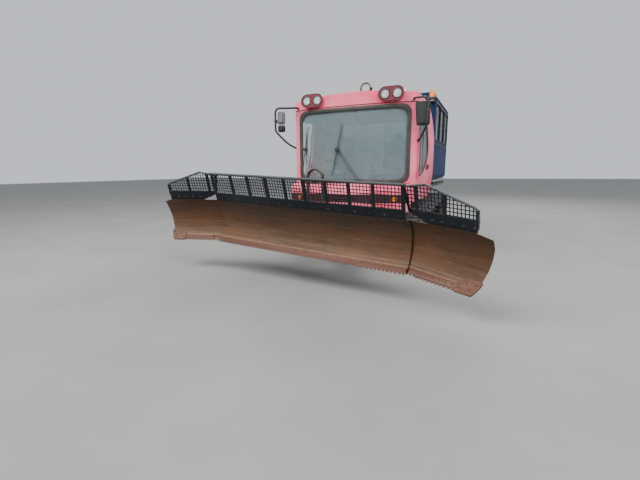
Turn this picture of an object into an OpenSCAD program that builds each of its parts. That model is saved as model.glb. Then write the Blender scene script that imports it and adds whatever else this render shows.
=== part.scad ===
// Snowcat groomer with a front blade, a cab and a passenger cabin.
// Millimetres. The vehicle faces -Y, its left side is +X, and the floor is at z = 0.
// Places along the vehicle are counted from the front of its tracks, growing backwards.

/* [Whole vehicle] */
// From the front of the tracks back to the middle of the vehicle's length
mid_y = 1368.5; // [1300:0.1:1500]
// From the middle of the whole box to the vehicle's own middle, towards its left
mid_x = 77.2; // [40:0.1:120]
// Running gap between pieces that touch on the real machine
fit = 0.3; // [0.2:0.1:0.5]

/* [Tracks] */
// Width of one track
track_w = 640; // [600:10:680]
// From the middle of the vehicle to the middle of a track
track_x = 930; // [910:5:950]
// Thickness of the belts
belt_t = 20; // [14:1:26]
// Height of a track shoe over the belt
shoe_h = 55; // [40:1:60]
// Thickness of a track shoe along the track
shoe_t = 40; // [30:1:60]
// Wanted distance from shoe to shoe
shoe_pitch = 200; // [170:5:260]

/* [Running gear] */
// Radius of a road wheel
road_wheel_r = 300; // [270:5:310]
// Number of road wheels on each side
road_wheel_n = 4; // [3:1:4]
// Place of the first road wheel
first_wheel_y = 1180; // [1170:5:1200]
// Place of the last road wheel
last_wheel_y = 3440; // [3300:10:3460]
// Width of a wheel's tyre
wheel_w = 190; // [150:5:220]
// Radius of the idler at the front
idler_r = 265; // [240:5:280]
// Place of the idler
idler_y = 560; // [540:5:580]
// Height of the idler
idler_z = 480; // [460:5:500]
// Radius of the drive sprocket at the rear
sprocket_r = 340; // [300:5:360]
// Place of the sprocket
sprocket_y = 4110; // [4100:10:4200]
// Height of the sprocket
sprocket_z = 540; // [520:5:560]
// Radius of an axle
axle_r = 45; // [35:1:60]

/* [Chassis] */
// Width of the chassis tub
tub_w = 1120; // [1000:10:1160]
// Front of the tub
tub_y0 = 330; // [320:5:340]
// Rear of the tub
tub_y1 = 4420; // [4400:10:4460]
// Underside of the tub
tub_z0 = 400; // [380:5:420]
// Top of the tub
tub_z1 = 990; // [980:5:1000]
// Thickness of the tub's plates
tub_t = 20; // [12:1:30]

/* [Cab] */
// Half the width of the cab at its roof
cab_half = 1105; // [1080:5:1130]
// Rear of the cab
cab_y1 = 1450; // [1430:10:1500]
// Underside of the cab
cab_z0 = 1020; // [1010:5:1040]
// Underside of the roof
roof_z0 = 2620; // [2600:5:2650]
// Height of the roof's top
roof_z1 = 2830; // [2800:5:2860]
// Thickness of the cab's walls
wall = 45; // [35:1:60]
// How far the sides bulge out at their widest
bulge = 105; // [80:5:120]
// Radius of the windscreen's bow in plan
bow_r = 4350; // [4000:50:6000]
// Front of the windscreen at the middle of the cab
screen_y = 50; // [40:5:70]
// Half the width of the windscreen
screen_half = 1000; // [900:5:1010]
// Bottom of the windscreen
screen_z0 = 1345; // [1340:5:1380]
// Top of the windscreen
screen_z1 = 2585; // [2500:5:2590]
// Thickness of window glass
glass_t = 8; // [5:1:12]

/* [Passenger cabin] */
// Half the width of the cabin
cabin_half = 1150; // [1100:10:1200]
// Front of the cabin
cabin_y0 = 1900; // [1880:10:1920]
// Rear of the cabin
cabin_y1 = 4330; // [4250:10:4380]
// Underside of the cabin
cabin_z0 = 1330; // [1320:5:1340]
// Top of the cabin
cabin_z1 = 3070; // [3040:10:3100]
// Bottom of the cabin's windows
cabin_sill_z = 2150; // [2100:10:2180]
// Top of the cabin's windows
cabin_head_z = 2890; // [2850:10:2910]

/* [Blade] */
// Length of the blade's middle section
blade_len = 3000; // [2800:20:3100]
// Height of the moldboard
blade_h = 620; // [580:10:660]
// How far the moldboard's top leans forward
blade_lean = 60; // [40:5:80]
// Depth of the moldboard's hollow
blade_hollow = 145; // [110:5:160]
// Thickness of the moldboard's plate
plate_t = 10; // [8:1:14]
// Length of a wing from the seam to its tip
wing_len = 960; // [920:10:980]
// From the moldboard's seam out to the hinge of a wing
seam_gap = 44; // [40:1:50]
// From the blade's cutting edge line back to the hinge of a wing
hinge_depth = 175; // [165:5:185]
// Height of the guard over the moldboard
guard_h = 430; // [380:5:450]
// Lean of the guard from upright
guard_lean = 17.6; // [12:0.1:22]
// Width of a hole in the guard's mesh
mesh_hole = 72; // [60:1:90]
// Width of a bar of the guard's mesh
mesh_bar = 16; // [10:1:20]

/* [Blade at rest] */
// Turn of the blade, its left end forward
blade_yaw = 6; // [0:0.5:10]
// Tilt of the blade, its left end down
blade_tilt = 2.4; // [0:0.1:4]
// Forward fold of the wings
wing_fold = 19; // [0:1:25]
// Height of the cutting edge at the middle of the blade
edge_z = 440; // [430:5:450]

/* [Blade carrier] */
// Place of the lift hinge
lift_y = 200; // [190:5:210]
// Height of the lift hinge and of the push frame
lift_z = 560; // [555:5:565]
// From the lift hinge forward to the swivel pin
swivel_reach = 1250; // [1240:5:1260]
// From the swivel pin forward to the cutting edge
edge_reach = 672; // [665:1:680]
// From the swivel pin forward to the blade's tip-back hinge
pitch_reach = 430; // [425:1:435]
// Height of the tip-back hinge
pitch_z = 500; // [495:5:505]
// Radius of a hinge pin
pin_r = 22; // [18:1:26]
// Radius of a cylinder's barrel
barrel_r = 38; // [32:1:40]
// Radius of a cylinder's rod
rod_r = 20; // [16:1:24]

/* [Hidden] */
$fn = 64;

red = "lightcoral";
blue = "royalblue";
black = [0.08, 0.08, 0.09];
dark = [0.2, 0.2, 0.22];
rust = "sienna";
silver = "silver";
clear = [0.6, 0.7, 0.68];

// Heights and places that follow from the sizes above
wheel_z = belt_t + shoe_h + road_wheel_r;
swivel_y = lift_y - swivel_reach;
wheel_step = (last_wheel_y - first_wheel_y) / (road_wheel_n - 1);
wheel_ys = [for (k = [0:road_wheel_n - 1]) first_wheel_y + k * wheel_step];

// Sets a module's solids on the floor around the middle of the vehicle
module place(c) {
  translate([mid_x, -mid_y, 0])
    color(c)
      children();
}

// Turns a flat outline drawn in Y and Z into a solid of a given width along X
module across(w) {
  rotate([90, 0, 90])
    translate([0, 0, -w / 2])
      linear_extrude(w)
        children();
}

// Turns a flat outline drawn in X and Z into a solid that runs from y0 to y1
module along(y0, y1) {
  translate([0, y1, 0])
    rotate([90, 0, 0])
      linear_extrude(y1 - y0)
        children();
}

// A box given by its lowest and highest corners
module box(a, b) {
  translate(a)
    cube(b - a);
}

// A box with a mirrored twin on the other side
module both() {
  children();
  mirror([1, 0, 0])
    children();
}

// A round bar along X, Y or Z through a point
module bar_x(p, r, w) {
  translate(p)
    rotate([0, 90, 0])
      cylinder(r = r, h = w, center = true);
}

module bar_y(p, r, w) {
  translate(p)
    rotate([90, 0, 0])
      cylinder(r = r, h = w, center = true);
}

module bar_z(p, r, w) {
  translate(p)
    cylinder(r = r, h = w, center = true);
}

// A rectangle with round corners
module round_rect(a, b, r) {
  difference() {
    translate(a)
      square(b - a);
    for (u = [0, 1])
      for (v = [0, 1])
        translate([u ? b[0] : a[0], v ? b[1] : a[1]])
          mirror([u, 0])
            mirror([0, v])
              difference() {
                translate([-1, -1])
                  square(r + 1);
                translate([r, r])
                  circle(r = r);
              }
  }
}

// The track's path runs round four circles: place, height, radius
path_circles = [
  [first_wheel_y, wheel_z, road_wheel_r],
  [last_wheel_y, wheel_z, road_wheel_r],
  [sprocket_y, sprocket_z, sprocket_r],
  [idler_y, idler_z, idler_r]
];

function wrap(a) = a - 360 * floor((a + 100) / 360);
function circle_at(k) = path_circles[k % 4];
function span(a, b) = norm([b[0] - a[0], b[1] - a[1]]);
function normal_of(a, b) =
  wrap(atan2(b[1] - a[1], b[0] - a[0]) - 90 + asin((a[2] - b[2]) / span(a, b)));
function normal_at(k) = normal_of(circle_at(k), circle_at(k + 1)) + (k >= 4 ? 360 : 0);
function line_len(a, b) = sqrt(pow(span(a, b), 2) - pow(a[2] - b[2], 2));
function arc_len(k) = circle_at(k + 1)[2] * (normal_at(k + 1) - normal_at(k)) * PI / 180;
function leg_len(k) = line_len(circle_at(k), circle_at(k + 1));

// Place and outward direction at a distance along the path, and 1 on an arc
function path_at(s, k = 0) =
  s < leg_len(k) ? on_line(s, k)
  : s < leg_len(k) + arc_len(k) ? on_arc(s - leg_len(k), k)
  : path_at(s - leg_len(k) - arc_len(k), k + 1);
function on_line(s, k) =
  let (c = circle_at(k), n = normal_at(k))
  [c[0] + c[2] * cos(n) - s * sin(n), c[1] + c[2] * sin(n) + s * cos(n), n, 0];
function on_arc(s, k) =
  let (c = circle_at(k + 1), n = normal_at(k) + s / c[2] * 180 / PI)
  [c[0] + c[2] * cos(n), c[1] + c[2] * sin(n), n, 1];
function off(p, d) = [p[0] + d * cos(p[2]), p[1] + d * sin(p[2])];

loop_len = leg_len(0) + leg_len(1) + leg_len(2) + leg_len(3)
         + arc_len(0) + arc_len(1) + arc_len(2) + arc_len(3);
shoe_n = round(loop_len / shoe_pitch);
pitch = loop_len / shoe_n;

// The belt's outside with its shoes, one shoe after the other
shoe_points = [
  for (k = [0:shoe_n - 1])
    let (
      a = path_at((k + 0.5) * pitch - shoe_t / 2),
      b = path_at((k + 0.5) * pitch + shoe_t / 2),
      c = path_at((k + 0.999) * pitch)
    )
    each concat(
      [off(a, belt_t), off(a, belt_t + shoe_h), off(b, belt_t + shoe_h), off(b, belt_t)],
      c[3] == 1 ? [off(c, belt_t)] : [])
];

// The belt's inside: flats that touch the circles, so the wheels run on them
inside_steps = 6;
inside_points = [
  for (k = [0:3])
    for (j = [0:inside_steps - 1])
      let (
        c = circle_at(k + 1),
        step = (normal_at(k + 1) - normal_at(k)) / inside_steps,
        n = normal_at(k) + (j + 0.5) * step,
        r = c[2] / cos(step / 2)
      )
      [c[0] + r * cos(n), c[1] + r * sin(n)]
];

module track() {
  outer = len(shoe_points);
  across(track_w)
    polygon(
      concat(shoe_points, inside_points),
      [[for (i = [0:outer - 1]) i],
       [for (i = [0:len(inside_points) - 1]) outer + i]]);
}

module track_left() {
  place(dark)
    translate([track_x, 0, 0])
      track();
}

module track_right() {
  place(dark)
    translate([-track_x, 0, 0])
      track();
}

// A wheel about X: rubber tyre, dished disc and hub
module wheel(r) {
  rotate([0, 90, 0])
    rotate_extrude()
      polygon([
        [axle_r + fit, -70], [axle_r + 40, -70], [axle_r + 40, -25], [r - 75, -25],
        [r - 75, -wheel_w / 2], [r - 12, -wheel_w / 2], [r - fit, -wheel_w / 2 + 14],
        [r - fit, wheel_w / 2 - 14], [r - 12, wheel_w / 2], [r - 75, wheel_w / 2],
        [r - 75, -5], [axle_r + 40, 5], [axle_r + 40, 70], [axle_r + fit, 70]
      ]);
}

module road_wheels() {
  place(dark)
    both() {
      for (y = wheel_ys)
        translate([track_x, y, wheel_z])
          wheel(road_wheel_r);
      translate([track_x, idler_y, idler_z])
        wheel(idler_r);
    }
}

// A drum with two toothed rings
tooth_n = 12;
ring_x = 210;

module sprocket() {
  tip_r = sprocket_r - 6;
  root_r = sprocket_r - 60;
  for (x = [-ring_x, ring_x])
    translate([x, 0, 0])
      across(50)
        difference() {
          polygon([
            for (k = [0:tooth_n - 1])
              for (q = [[0, root_r], [8, tip_r], [16, tip_r], [24, root_r]])
                q[1] * [cos(k * 30 + q[0]), sin(k * 30 + q[0])]
          ]);
          circle(r = axle_r + 70 + 40);
        }
  difference() {
    rotate([0, 90, 0])
      cylinder(r = axle_r + 110, h = 2 * ring_x + 50, center = true);
    rotate([0, 90, 0])
      cylinder(r = axle_r + fit, h = 3 * ring_x, center = true);
  }
}

module drive_sprockets() {
  place(dark)
    both()
      translate([track_x, sprocket_y, sprocket_z])
        sprocket();
}

// Axles: a tube from wheel to wheel at each road wheel, stubs at idlers and sprockets
module axles() {
  place(dark) {
    for (y = wheel_ys)
      bar_x([0, y, wheel_z], axle_r, 2 * track_x + 160);
    both() {
      x0 = tub_w / 2 + fit;
      x1 = track_x + 80;
      bar_x([(x0 + x1) / 2, idler_y, idler_z], axle_r, x1 - x0);
      bar_x([x0 + 60, idler_y, idler_z], axle_r + 40, 120);
      x2 = track_x + ring_x + 60;
      bar_x([(x0 + x2) / 2, sprocket_y, sprocket_z], axle_r, x2 - x0);
      bar_x([x0 + 60, sprocket_y, sprocket_z], 150, 120);
    }
  }
}

// The hinge's upright ears in front of the tub: half of their distance apart
ear_x = 430;
ear_t = 40;
lift_arm_x = 250;
lift_top = [150, 800];

module chassis_frame() {
  place(dark) {
    difference() {
      box([-tub_w / 2, tub_y0, tub_z0], [tub_w / 2, tub_y1, tub_z1]);
      box([-tub_w / 2 + tub_t, tub_y0 + tub_t, tub_z0 + tub_t],
          [tub_w / 2 - tub_t, tub_y1 - tub_t, tub_z1 + 1]);
      for (y = wheel_ys)
        bar_x([0, y, wheel_z], axle_r + fit, tub_w + 100);
    }
    // Ears of the lift hinge
    both() {
      for (x = [ear_x - 70, ear_x + 70])
        translate([x, 0, 0])
          across(ear_t)
            difference() {
              polygon([[tub_y0, 440], [tub_y0, 700], [lift_y, 640], [lift_y - 60, 600],
                       [lift_y - 60, 520], [lift_y, 480]]);
              translate([lift_y, lift_z])
                circle(r = pin_r + fit);
            }
      // Ears of the lift cylinders
      for (x = [lift_arm_x - 55, lift_arm_x + 55])
        translate([x, 0, 0])
          across(20)
            polygon([[tub_y0, 700], [tub_y0, 880], [140, 860], [100, 820], [100, 780],
                     [140, 740]]);
      bar_x([lift_arm_x, lift_top[0], lift_top[1]], pin_r, 130);
      // Pads under the cab
      for (y = [tub_y0 + 60, cab_y1 - 260])
        box([tub_w / 2 - 120, y, tub_z1 - 60], [tub_w / 2, y + 160, cab_z0 - fit]);
    }
  }
}

module engine_block() {
  place("gray")
    box([-400, 2100, tub_z0 + tub_t + fit], [400, 3250, 1150]);
}

// Deck over the tub and the tracks that carries the cab and the cabin
deck_z1 = 1250;
deck_z0 = 1190;

module rear_deck() {
  place(dark) {
    difference() {
      union() {
        box([-cabin_half + 20, cab_y1 + 60, deck_z0], [cabin_half - 20, cabin_y1 + 60, deck_z1]);
        for (y = [cab_y1 + 60, cabin_y1 - 60])
          box([-tub_w / 2, y, tub_z1 + fit], [tub_w / 2, y + 120, deck_z0]);
        for (x = [-tub_w / 2, tub_w / 2 - 80])
          box([x, cab_y1 + 60, tub_z1 + fit], [x + 80, cabin_y1 + 60, deck_z0]);
        for (x = [-800, 700])
          box([x, cabin_y0 + 40, deck_z1], [x + 100, cabin_y1 - 40, cabin_z0 - fit]);
      }
      box([-420, 2080, tub_z1 - 10], [420, 3270, 1170]);
    }
  }
}

// Rear carrier for tools: two lower arms and an upper link eye
module rear_hitch() {
  place(dark) {
    difference() {
      union() {
        box([-450, tub_y1 + fit, 420], [450, tub_y1 + 60, 960]);
        for (x = [-400, 400])
          translate([x, 0, 0])
            across(70)
              polygon([[tub_y1 + 60, 450], [tub_y1 + 60, 700], [tub_y1 + 420, 560],
                       [tub_y1 + 600, 560], [tub_y1 + 640, 520], [tub_y1 + 640, 480],
                       [tub_y1 + 600, 440]]);
        box([-365, tub_y1 + 300, 450], [365, tub_y1 + 380, 530]);
        for (x = [-60, 60])
          translate([x, 0, 0])
            across(30)
              polygon([[tub_y1 + 60, 760], [tub_y1 + 60, 940], [tub_y1 + 160, 900],
                       [tub_y1 + 160, 820]]);
      }
      bar_x([0, tub_y1 + 580, 500], 26, 900);
      bar_x([0, tub_y1 + 110, 860], 16, 200);
    }
  }
}

// Cab form: straight body with sides that bulge towards the rear, made smaller by i
side_r = 3610;
side_z = 1800;
side_turn = atan((bulge - 6) / (cab_y1 - 330));
roof_r = 9000;

module cab_form(i, z0, z1) {
  intersection() {
    translate([0, screen_y + bow_r, z0])
      cylinder(r = bow_r - i, h = z1 - z0, $fn = 360);
    box([-cab_half - bulge, screen_y - 10, z0], [cab_half + bulge, cab_y1 - i, z1]);
    union() {
      box([-cab_half + i, screen_y - 10, z0], [cab_half - i, cab_y1 - i, z1]);
      intersection() {
        box([0, 330, z0], [cab_half + bulge, cab_y1 - i, z1]);
        cab_side_right(i);
      }
      mirror([1, 0, 0])
        intersection() {
          box([0, 330, z0], [cab_half + bulge, cab_y1 - i, z1]);
          cab_side_right(i);
        }
    }
  }
}

module cab_side_right(i) {
  translate([cab_half + bulge - side_r, cab_y1, side_z])
    rotate([0, 0, -side_turn])
      rotate([90, 0, 0])
        translate([0, 0, -600])
          cylinder(r = side_r - i, h = 3000, $fn = 360);
}

// Door outline in Y and Z, made smaller by i
door_y0 = 300;
door_y1 = 1080;
door_arc = 650;
door_z0 = 1180;
door_z1 = 2560;

module door_outline(i) {
  difference() {
    round_rect([door_y0 + i, door_z0 + i], [door_y1 - i, door_z1 - i], 60);
    difference() {
      translate([door_y1 - door_arc, door_z0 - 20])
        square([door_arc + 20, door_arc + 20]);
      translate([door_y1 - door_arc, door_z0 + door_arc])
        circle(r = door_arc - i, $fn = 128);
    }
  }
}

window_arc = 550;
window_low = 270;

module door_window(i) {
  difference() {
    round_rect([door_y0 + 90 + i, door_z0 + window_low + i], [door_y1 - 125 - i, door_z1 - 80 - i],
               40);
    difference() {
      translate([door_y1 - 125 - window_arc, door_z0 + window_low - 20])
        square([window_arc + 20, window_arc + 20]);
      translate([door_y1 - 125 - window_arc, door_z0 + window_low + window_arc])
        circle(r = window_arc - i, $fn = 128);
    }
  }
}

// Door hinges: an upright pin in the cab's lower eye carries the door's eye
hinge_r = 16;
hinge_eye = 45;
door_pin_r = 8;
door_hinge_zs = [1420, 2300];
door_axis = [cab_half + hinge_r, door_y0 - 3];

module hinge_pin_part(p) {
  translate(p) {
    cylinder(r = hinge_r, h = hinge_eye);
    cylinder(r = door_pin_r, h = 2 * hinge_eye + fit);
  }
}

module hinge_eye_part(p) {
  translate([p[0], p[1], p[2] + hinge_eye + fit])
    difference() {
      cylinder(r = hinge_r, h = hinge_eye);
      translate([0, 0, -1])
        cylinder(r = door_pin_r + fit, h = hinge_eye + 2);
    }
}

module cab_body() {
  place(red) {
    cab_shell();
    both()
      for (z = door_hinge_zs) {
        hinge_pin_part([door_axis[0], door_axis[1], z]);
        box([cab_half - 5, door_axis[1] - 40, z], [cab_half + 6, door_axis[1] - 8, z + hinge_eye]);
      }
  }
}

module cab_shell() {
  difference() {
    cab_form(0, cab_z0, roof_z0);
    cab_form(wall, cab_z0 + wall, roof_z0 + 1);
    // Windscreen
    along(-200, 500)
      round_rect([-screen_half, screen_z0], [screen_half, screen_z1], 90);
    // Doors
    across(3000)
      door_outline(-6);
    // Rear window
    along(cab_y1 - 200, cab_y1 + 100)
      round_rect([-700, 1900], [700, 2500], 60);
  }
}

module cab_roof() {
  place(red)
    difference() {
      union() {
        difference() {
          intersection() {
            cab_form(0, roof_z0 + fit, roof_z1);
            translate([0, 0, roof_z1 - roof_r])
              rotate([90, 0, 0])
                cylinder(r = roof_r, h = 5000, center = true, $fn = 1200);
          }
          intersection() {
            cab_form(wall, roof_z0 - 1, roof_z1);
            translate([0, 0, roof_z1 - roof_r])
              rotate([90, 0, 0])
                cylinder(r = roof_r - wall, h = 5000, center = true, $fn = 1200);
          }
        }
        both()
          lamp_pod();
      }
      both()
        for (x = lamp_xs)
          bar_y([x, pod_y, lamp_z], lamp_r + fit, 2 * lamp_depth);
    }
}

// Lamp pods on the roof's front corners
lamp_xs = [600, 800];
lamp_z = 2750;
lamp_r = 80;
lamp_depth = 70;
pod_y = 40;
pod_r = 108;

module lamp_pod() {
  hull() {
    for (x = lamp_xs)
      translate([x, pod_y, lamp_z])
        rotate([-90, 0, 0])
          cylinder(r = pod_r, h = 200, $fn = 32);
    for (x = lamp_xs)
      translate([x, 600, lamp_z + 20])
        rotate([-90, 0, 0])
          cylinder(r = 40, h = 60, $fn = 32);
  }
}

module roof_lamps() {
  place(silver) {
    both()
      for (x = lamp_xs)
        translate([x, pod_y, lamp_z])
          rotate([-90, 0, 0])
            lamp(lamp_r, lamp_depth);
    // Search light on its post
    translate([search[0], search[1], search[2]])
      rotate([-90, 0, 0])
        lamp(92, 110);
    foot_z = roof_z1 - 0.2;
    translate([search[0], search[1] + 50, foot_z]) {
      cylinder(r = 36, h = 12);
      cylinder(r = 16, h = search[2] - 75 - foot_z);
    }
  }
}

search = [130, 500, 2965];

// A round lamp that looks along -Z of its own: housing with a hollow reflector
module lamp(r, d) {
  rotate_extrude()
    polygon([[0, d - 8], [r * 0.5, d - 20], [r * 0.84, 14], [r * 0.84, 0], [r, 0], [r, 20],
             [r * 0.9, d - 14], [r * 0.6, d], [0, d]]);
}

module lamp_lens(r) {
  rotate_extrude()
    polygon([[0, 0], [r * 0.84 - fit, 6], [r * 0.84 - fit, 12], [0, 6]]);
}

module lamp_lenses() {
  place(clear) {
    both()
      for (x = lamp_xs)
        translate([x, pod_y, lamp_z])
          rotate([-90, 0, 0])
            lamp_lens(lamp_r);
    translate(search)
      rotate([-90, 0, 0])
        lamp_lens(92);
  }
}

// Nose in front of the windscreen
nose_y0 = -300;
nose_half = 1060;
nose_z0 = 880;
band_z0 = 1020;
band_z1 = 1155;
band_depth = 30;
amber_x = 858;
amber_z = 1088;

module nose_form(i) {
  intersection() {
    across(2 * nose_half - 2 * i)
      polygon([[nose_y0 + i, nose_z0], [nose_y0 + i, 1165], [nose_y0 + 60 + i, 1215],
               [20, screen_z0 - 25], [320, screen_z0 - 25], [320, nose_z0]]);
    translate([0, nose_y0 + i + 3200, 0])
      cylinder(r = 3200, h = 3000, $fn = 360);
  }
}

module cab_nose() {
  place(red)
    difference() {
      nose_form(0);
      difference() {
        box([-nose_half - 5, nose_y0 - 5, band_z0], [nose_half + 5, 0, band_z1]);
        nose_form(band_depth);
      }
      translate([0, 0, -60])
        nose_form(60);
      cab_form(-fit, nose_z0 - 1, screen_z0);
      // Room for the carrier below
      box([-700, -400, nose_z0 - 1], [700, 400, 960]);
      box([-2000, 120, nose_z0 - 1], [2000, 400, cab_z0 - fit]);
    }
}

// Dark band round the nose with slats, a plain round boss and its lamp seats
module nose_grille() {
  place("darkred")
    difference() {
      intersection() {
        difference() {
          nose_form(2);
          nose_form(band_depth - fit);
        }
        box([-nose_half, nose_y0 - 5, band_z0 + fit], [nose_half, -60, band_z1 - fit]);
      }
      for (z = [band_z0 + 35, band_z0 + 65, band_z0 + 95])
        box([-640, nose_y0 - 20, z], [640, nose_y0 + 14, z + 14]);
      both()
        bar_y([amber_x, nose_y0, amber_z], 40, 600);
    }
}

module amber_lamps() {
  place("orange") {
    both()
      intersection() {
        difference() {
          nose_form(4);
          nose_form(band_depth - fit);
        }
        bar_y([amber_x, nose_y0, amber_z], 38, 600);
      }
    // Beacon at the cabin's front corner
    translate([beacon[0], beacon[1], beacon[2] + fit])
      rotate_extrude()
        polygon([[0, 0], [66, 0], [66, 20], [60, 60], [52, 128], [32, 160], [0, 170]]);
  }
}

beacon = [1082, cabin_y0 - 78, 2922];

// Bare metal strips with struts under the cabin's sides, and the beacon's bracket
module cabin_sills() {
  place(silver) {
    both() {
      box([1070, cabin_y0, 1290], [1166, cabin_y1, cabin_z0 - fit]);
      for (y = [cabin_y0 + 60, (cabin_y0 + cabin_y1) / 2 - 30, cabin_y1 - 120])
        box([1080, y, deck_z1 + fit], [1116, y + 60, 1300]);
    }
    box([beacon[0] - 46, beacon[1] - 50, beacon[2] - 46], [beacon[0] + 46, cabin_y0 - fit, beacon[2] - 30]);
    translate([beacon[0], beacon[1], beacon[2] - 40])
      cylinder(r = 30, h = 40);
  }
}

module tail_lamps() {
  place("red")
    both()
      box([cabin_half - 190, cabin_y1 + 60 + fit, deck_z0 + 2], [cabin_half - 50, cabin_y1 + 95, deck_z1 - 2]);
}

module cab_glass() {
  place(clear) {
    // Windscreen
    intersection() {
      difference() {
        translate([0, screen_y + bow_r, 0])
          cylinder(r = bow_r - 14, h = 3000, $fn = 360);
        translate([0, screen_y + bow_r, 0])
          cylinder(r = bow_r - 14 - glass_t, h = 3000, $fn = 360);
      }
      along(-200, 500)
        round_rect([-screen_half + fit, screen_z0 + fit], [screen_half - fit, screen_z1 - fit], 90);
    }
    // Rear window
    along(cab_y1 - 30, cab_y1 - 30 + glass_t)
      round_rect([-700 + fit, 1900 + fit], [700 - fit, 2500 - fit], 60);
  }
}

// Two seats in the cab, benches along the cabin's sides
seat_y = cab_y1 - 830;

module seat() {
  box([-240, 0, 380], [240, 480, 500]);
  across(460)
    polygon([[470, 500 + fit], [590, 500 + fit], [700, 1180], [600, 1180]]);
  box([-200, 100, 0], [200, 420, 380 - fit]);
}

module seats() {
  place(dark) {
    for (x = [-520, 520])
      translate([x, seat_y, cab_z0 + wall + fit])
        seat();
    both()
      intersection() {
        difference() {
          box([cabin_half - wall - 440, cabin_y0 + 120, cabin_z0 + wall + fit],
              [cabin_half - wall - 5, cabin_y1 - 120, cabin_z0 + wall + 420]);
          box([cabin_half - wall - 415, cabin_y0 + 145, cabin_z0],
              [cabin_half - wall, cabin_y1 - 145, cabin_z0 + wall + 340]);
        }
        along(cabin_y0, cabin_y1)
          cabin_section(wall + fit);
      }
  }
}

module dashboard() {
  place(dark) {
    intersection() {
      box([-900, 100, cab_z0 + wall + fit], [900, 400, 1330]);
      cab_form(wall + fit, cab_z0, roof_z0);
    }
    // Steering levers in front of the driver's seat
    for (x = [440, 600])
      hull() {
        translate([x, 420, 1400])
          sphere(r = 20, $fn = 24);
        translate([x, 380, 1310])
          sphere(r = 14, $fn = 24);
      }
  }
}

// Mirrors on bent tubes: the left one close to the cab, the right one farther out and higher
mirror_left = [[1120, 50, 2240], [1320, 110, 2590]];
mirror_right = [[1262, 24, 2252], [1412, 84, 2612]];

module mirror_head(a, b) {
  difference() {
    box(a, b);
    box([a[0] + 14, b[1] - 16, a[2] + 14], [b[0] - 14, b[1] + 1, b[2] - 14]);
  }
}

module mirrors() {
  place(black)
    difference() {
      union() {
        mirror_head(mirror_left[0], mirror_left[1]);
        tube([[1040, 190, 2650], [1060, 100, 2655], [1235, 36, 2645], [1278, 32, 2595], [1284, 32, 2450],
              [1268, 32, 2225], [1128, 262, 2020]], 14);
        box([1262, 30, 2430], [1306, 70, 2470]);
        box([cab_half + fit, 244, 2000], [1142, 280, 2040]);
        mirror([1, 0, 0]) {
          mirror_head(mirror_right[0], mirror_right[1]);
          tube([[1040, 190, 2660], [1060, 100, 2664], [1374, 16, 2664], [1424, 4, 2600], [1426, 4, 2281],
                [1368, 40, 2190], [1250, 150, 2045], [1128, 262, 1960]], 14);
          box([1390, -4, 2420], [1434, 40, 2460]);
          box([cab_half + fit, 244, 1940], [1142, 280, 1980]);
        }
      }
      cab_form(-fit, cab_z0, roof_z1);
    }
}

// Front of the cab at a distance from its middle
function bow_at(x) = screen_y + bow_r - sqrt(bow_r * bow_r - x * x);

module wipers() {
  place(black)
    difference() {
      for (x = [180, -680])
        translate([x, bow_at(x) - 40, screen_z0 - 10]) {
          rotate([0, -22, 0])
            box([-12, 0, 0], [12, 20, 620]);
          box([-30, 0, -14], [30, 90, 34]);
        }
      cab_form(-fit, cab_z0, roof_z0);
    }
}

// Cabin: a hollow box with rounded roof edges and rows of windows
cabin_len = cabin_y1 - cabin_y0;
window_n = 3;
post = 90;
window_w = (cabin_len - (window_n + 1) * post) / window_n;

module cabin_section(i) {
  round_rect([-cabin_half + i, cabin_z0 + i], [cabin_half - i, cabin_z1 - i], 110);
}

module cabin_windows(i) {
  for (k = [0:window_n - 1])
    translate([cabin_y0 + post + k * (window_w + post), 0])
      round_rect([i, cabin_sill_z + i], [window_w - i, cabin_head_z - i], 40);
}

cabin_door_half = 400;

cabin_hinge_zs = [1600, 2600];
cabin_axis = [cabin_door_half + 3, cabin_y1 + hinge_r];

module cabin_body() {
  place(blue) {
    cabin_shell();
    for (z = cabin_hinge_zs) {
      hinge_pin_part([cabin_axis[0], cabin_axis[1], z]);
      box([cabin_axis[0] + 8, cabin_y1 - 5, z], [cabin_axis[0] + 40, cabin_y1 + 6, z + hinge_eye]);
    }
  }
}

module cabin_shell() {
  difference() {
    along(cabin_y0, cabin_y1)
      cabin_section(0);
    along(cabin_y0 + wall, cabin_y1 - wall)
      cabin_section(wall);
    across(3000)
      cabin_windows(0);
    along(cabin_y0 - 100, cabin_y0 + 200)
      round_rect([-900, cabin_sill_z], [900, cabin_head_z], 60);
    along(cabin_y1 - 200, cabin_y1 + 100)
      round_rect([-cabin_door_half - 6, cabin_z0 + wall], [cabin_door_half + 6, 2950], 50);
    both()
      along(cabin_y1 - 200, cabin_y1 + 100)
        round_rect([520, cabin_sill_z], [1020, cabin_head_z], 50);
  }
}

module cabin_glass() {
  place(clear) {
    both()
      translate([cabin_half - 20, 0, 0])
        across(glass_t)
          cabin_windows(fit);
    along(cabin_y0 + 16, cabin_y0 + 16 + glass_t)
      round_rect([-900 + fit, cabin_sill_z + fit], [900 - fit, cabin_head_z - fit], 60);
    both()
      along(cabin_y1 - 24, cabin_y1 - 24 + glass_t)
        round_rect([520 + fit, cabin_sill_z + fit], [1020 - fit, cabin_head_z - fit], 50);
  }
}

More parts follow.
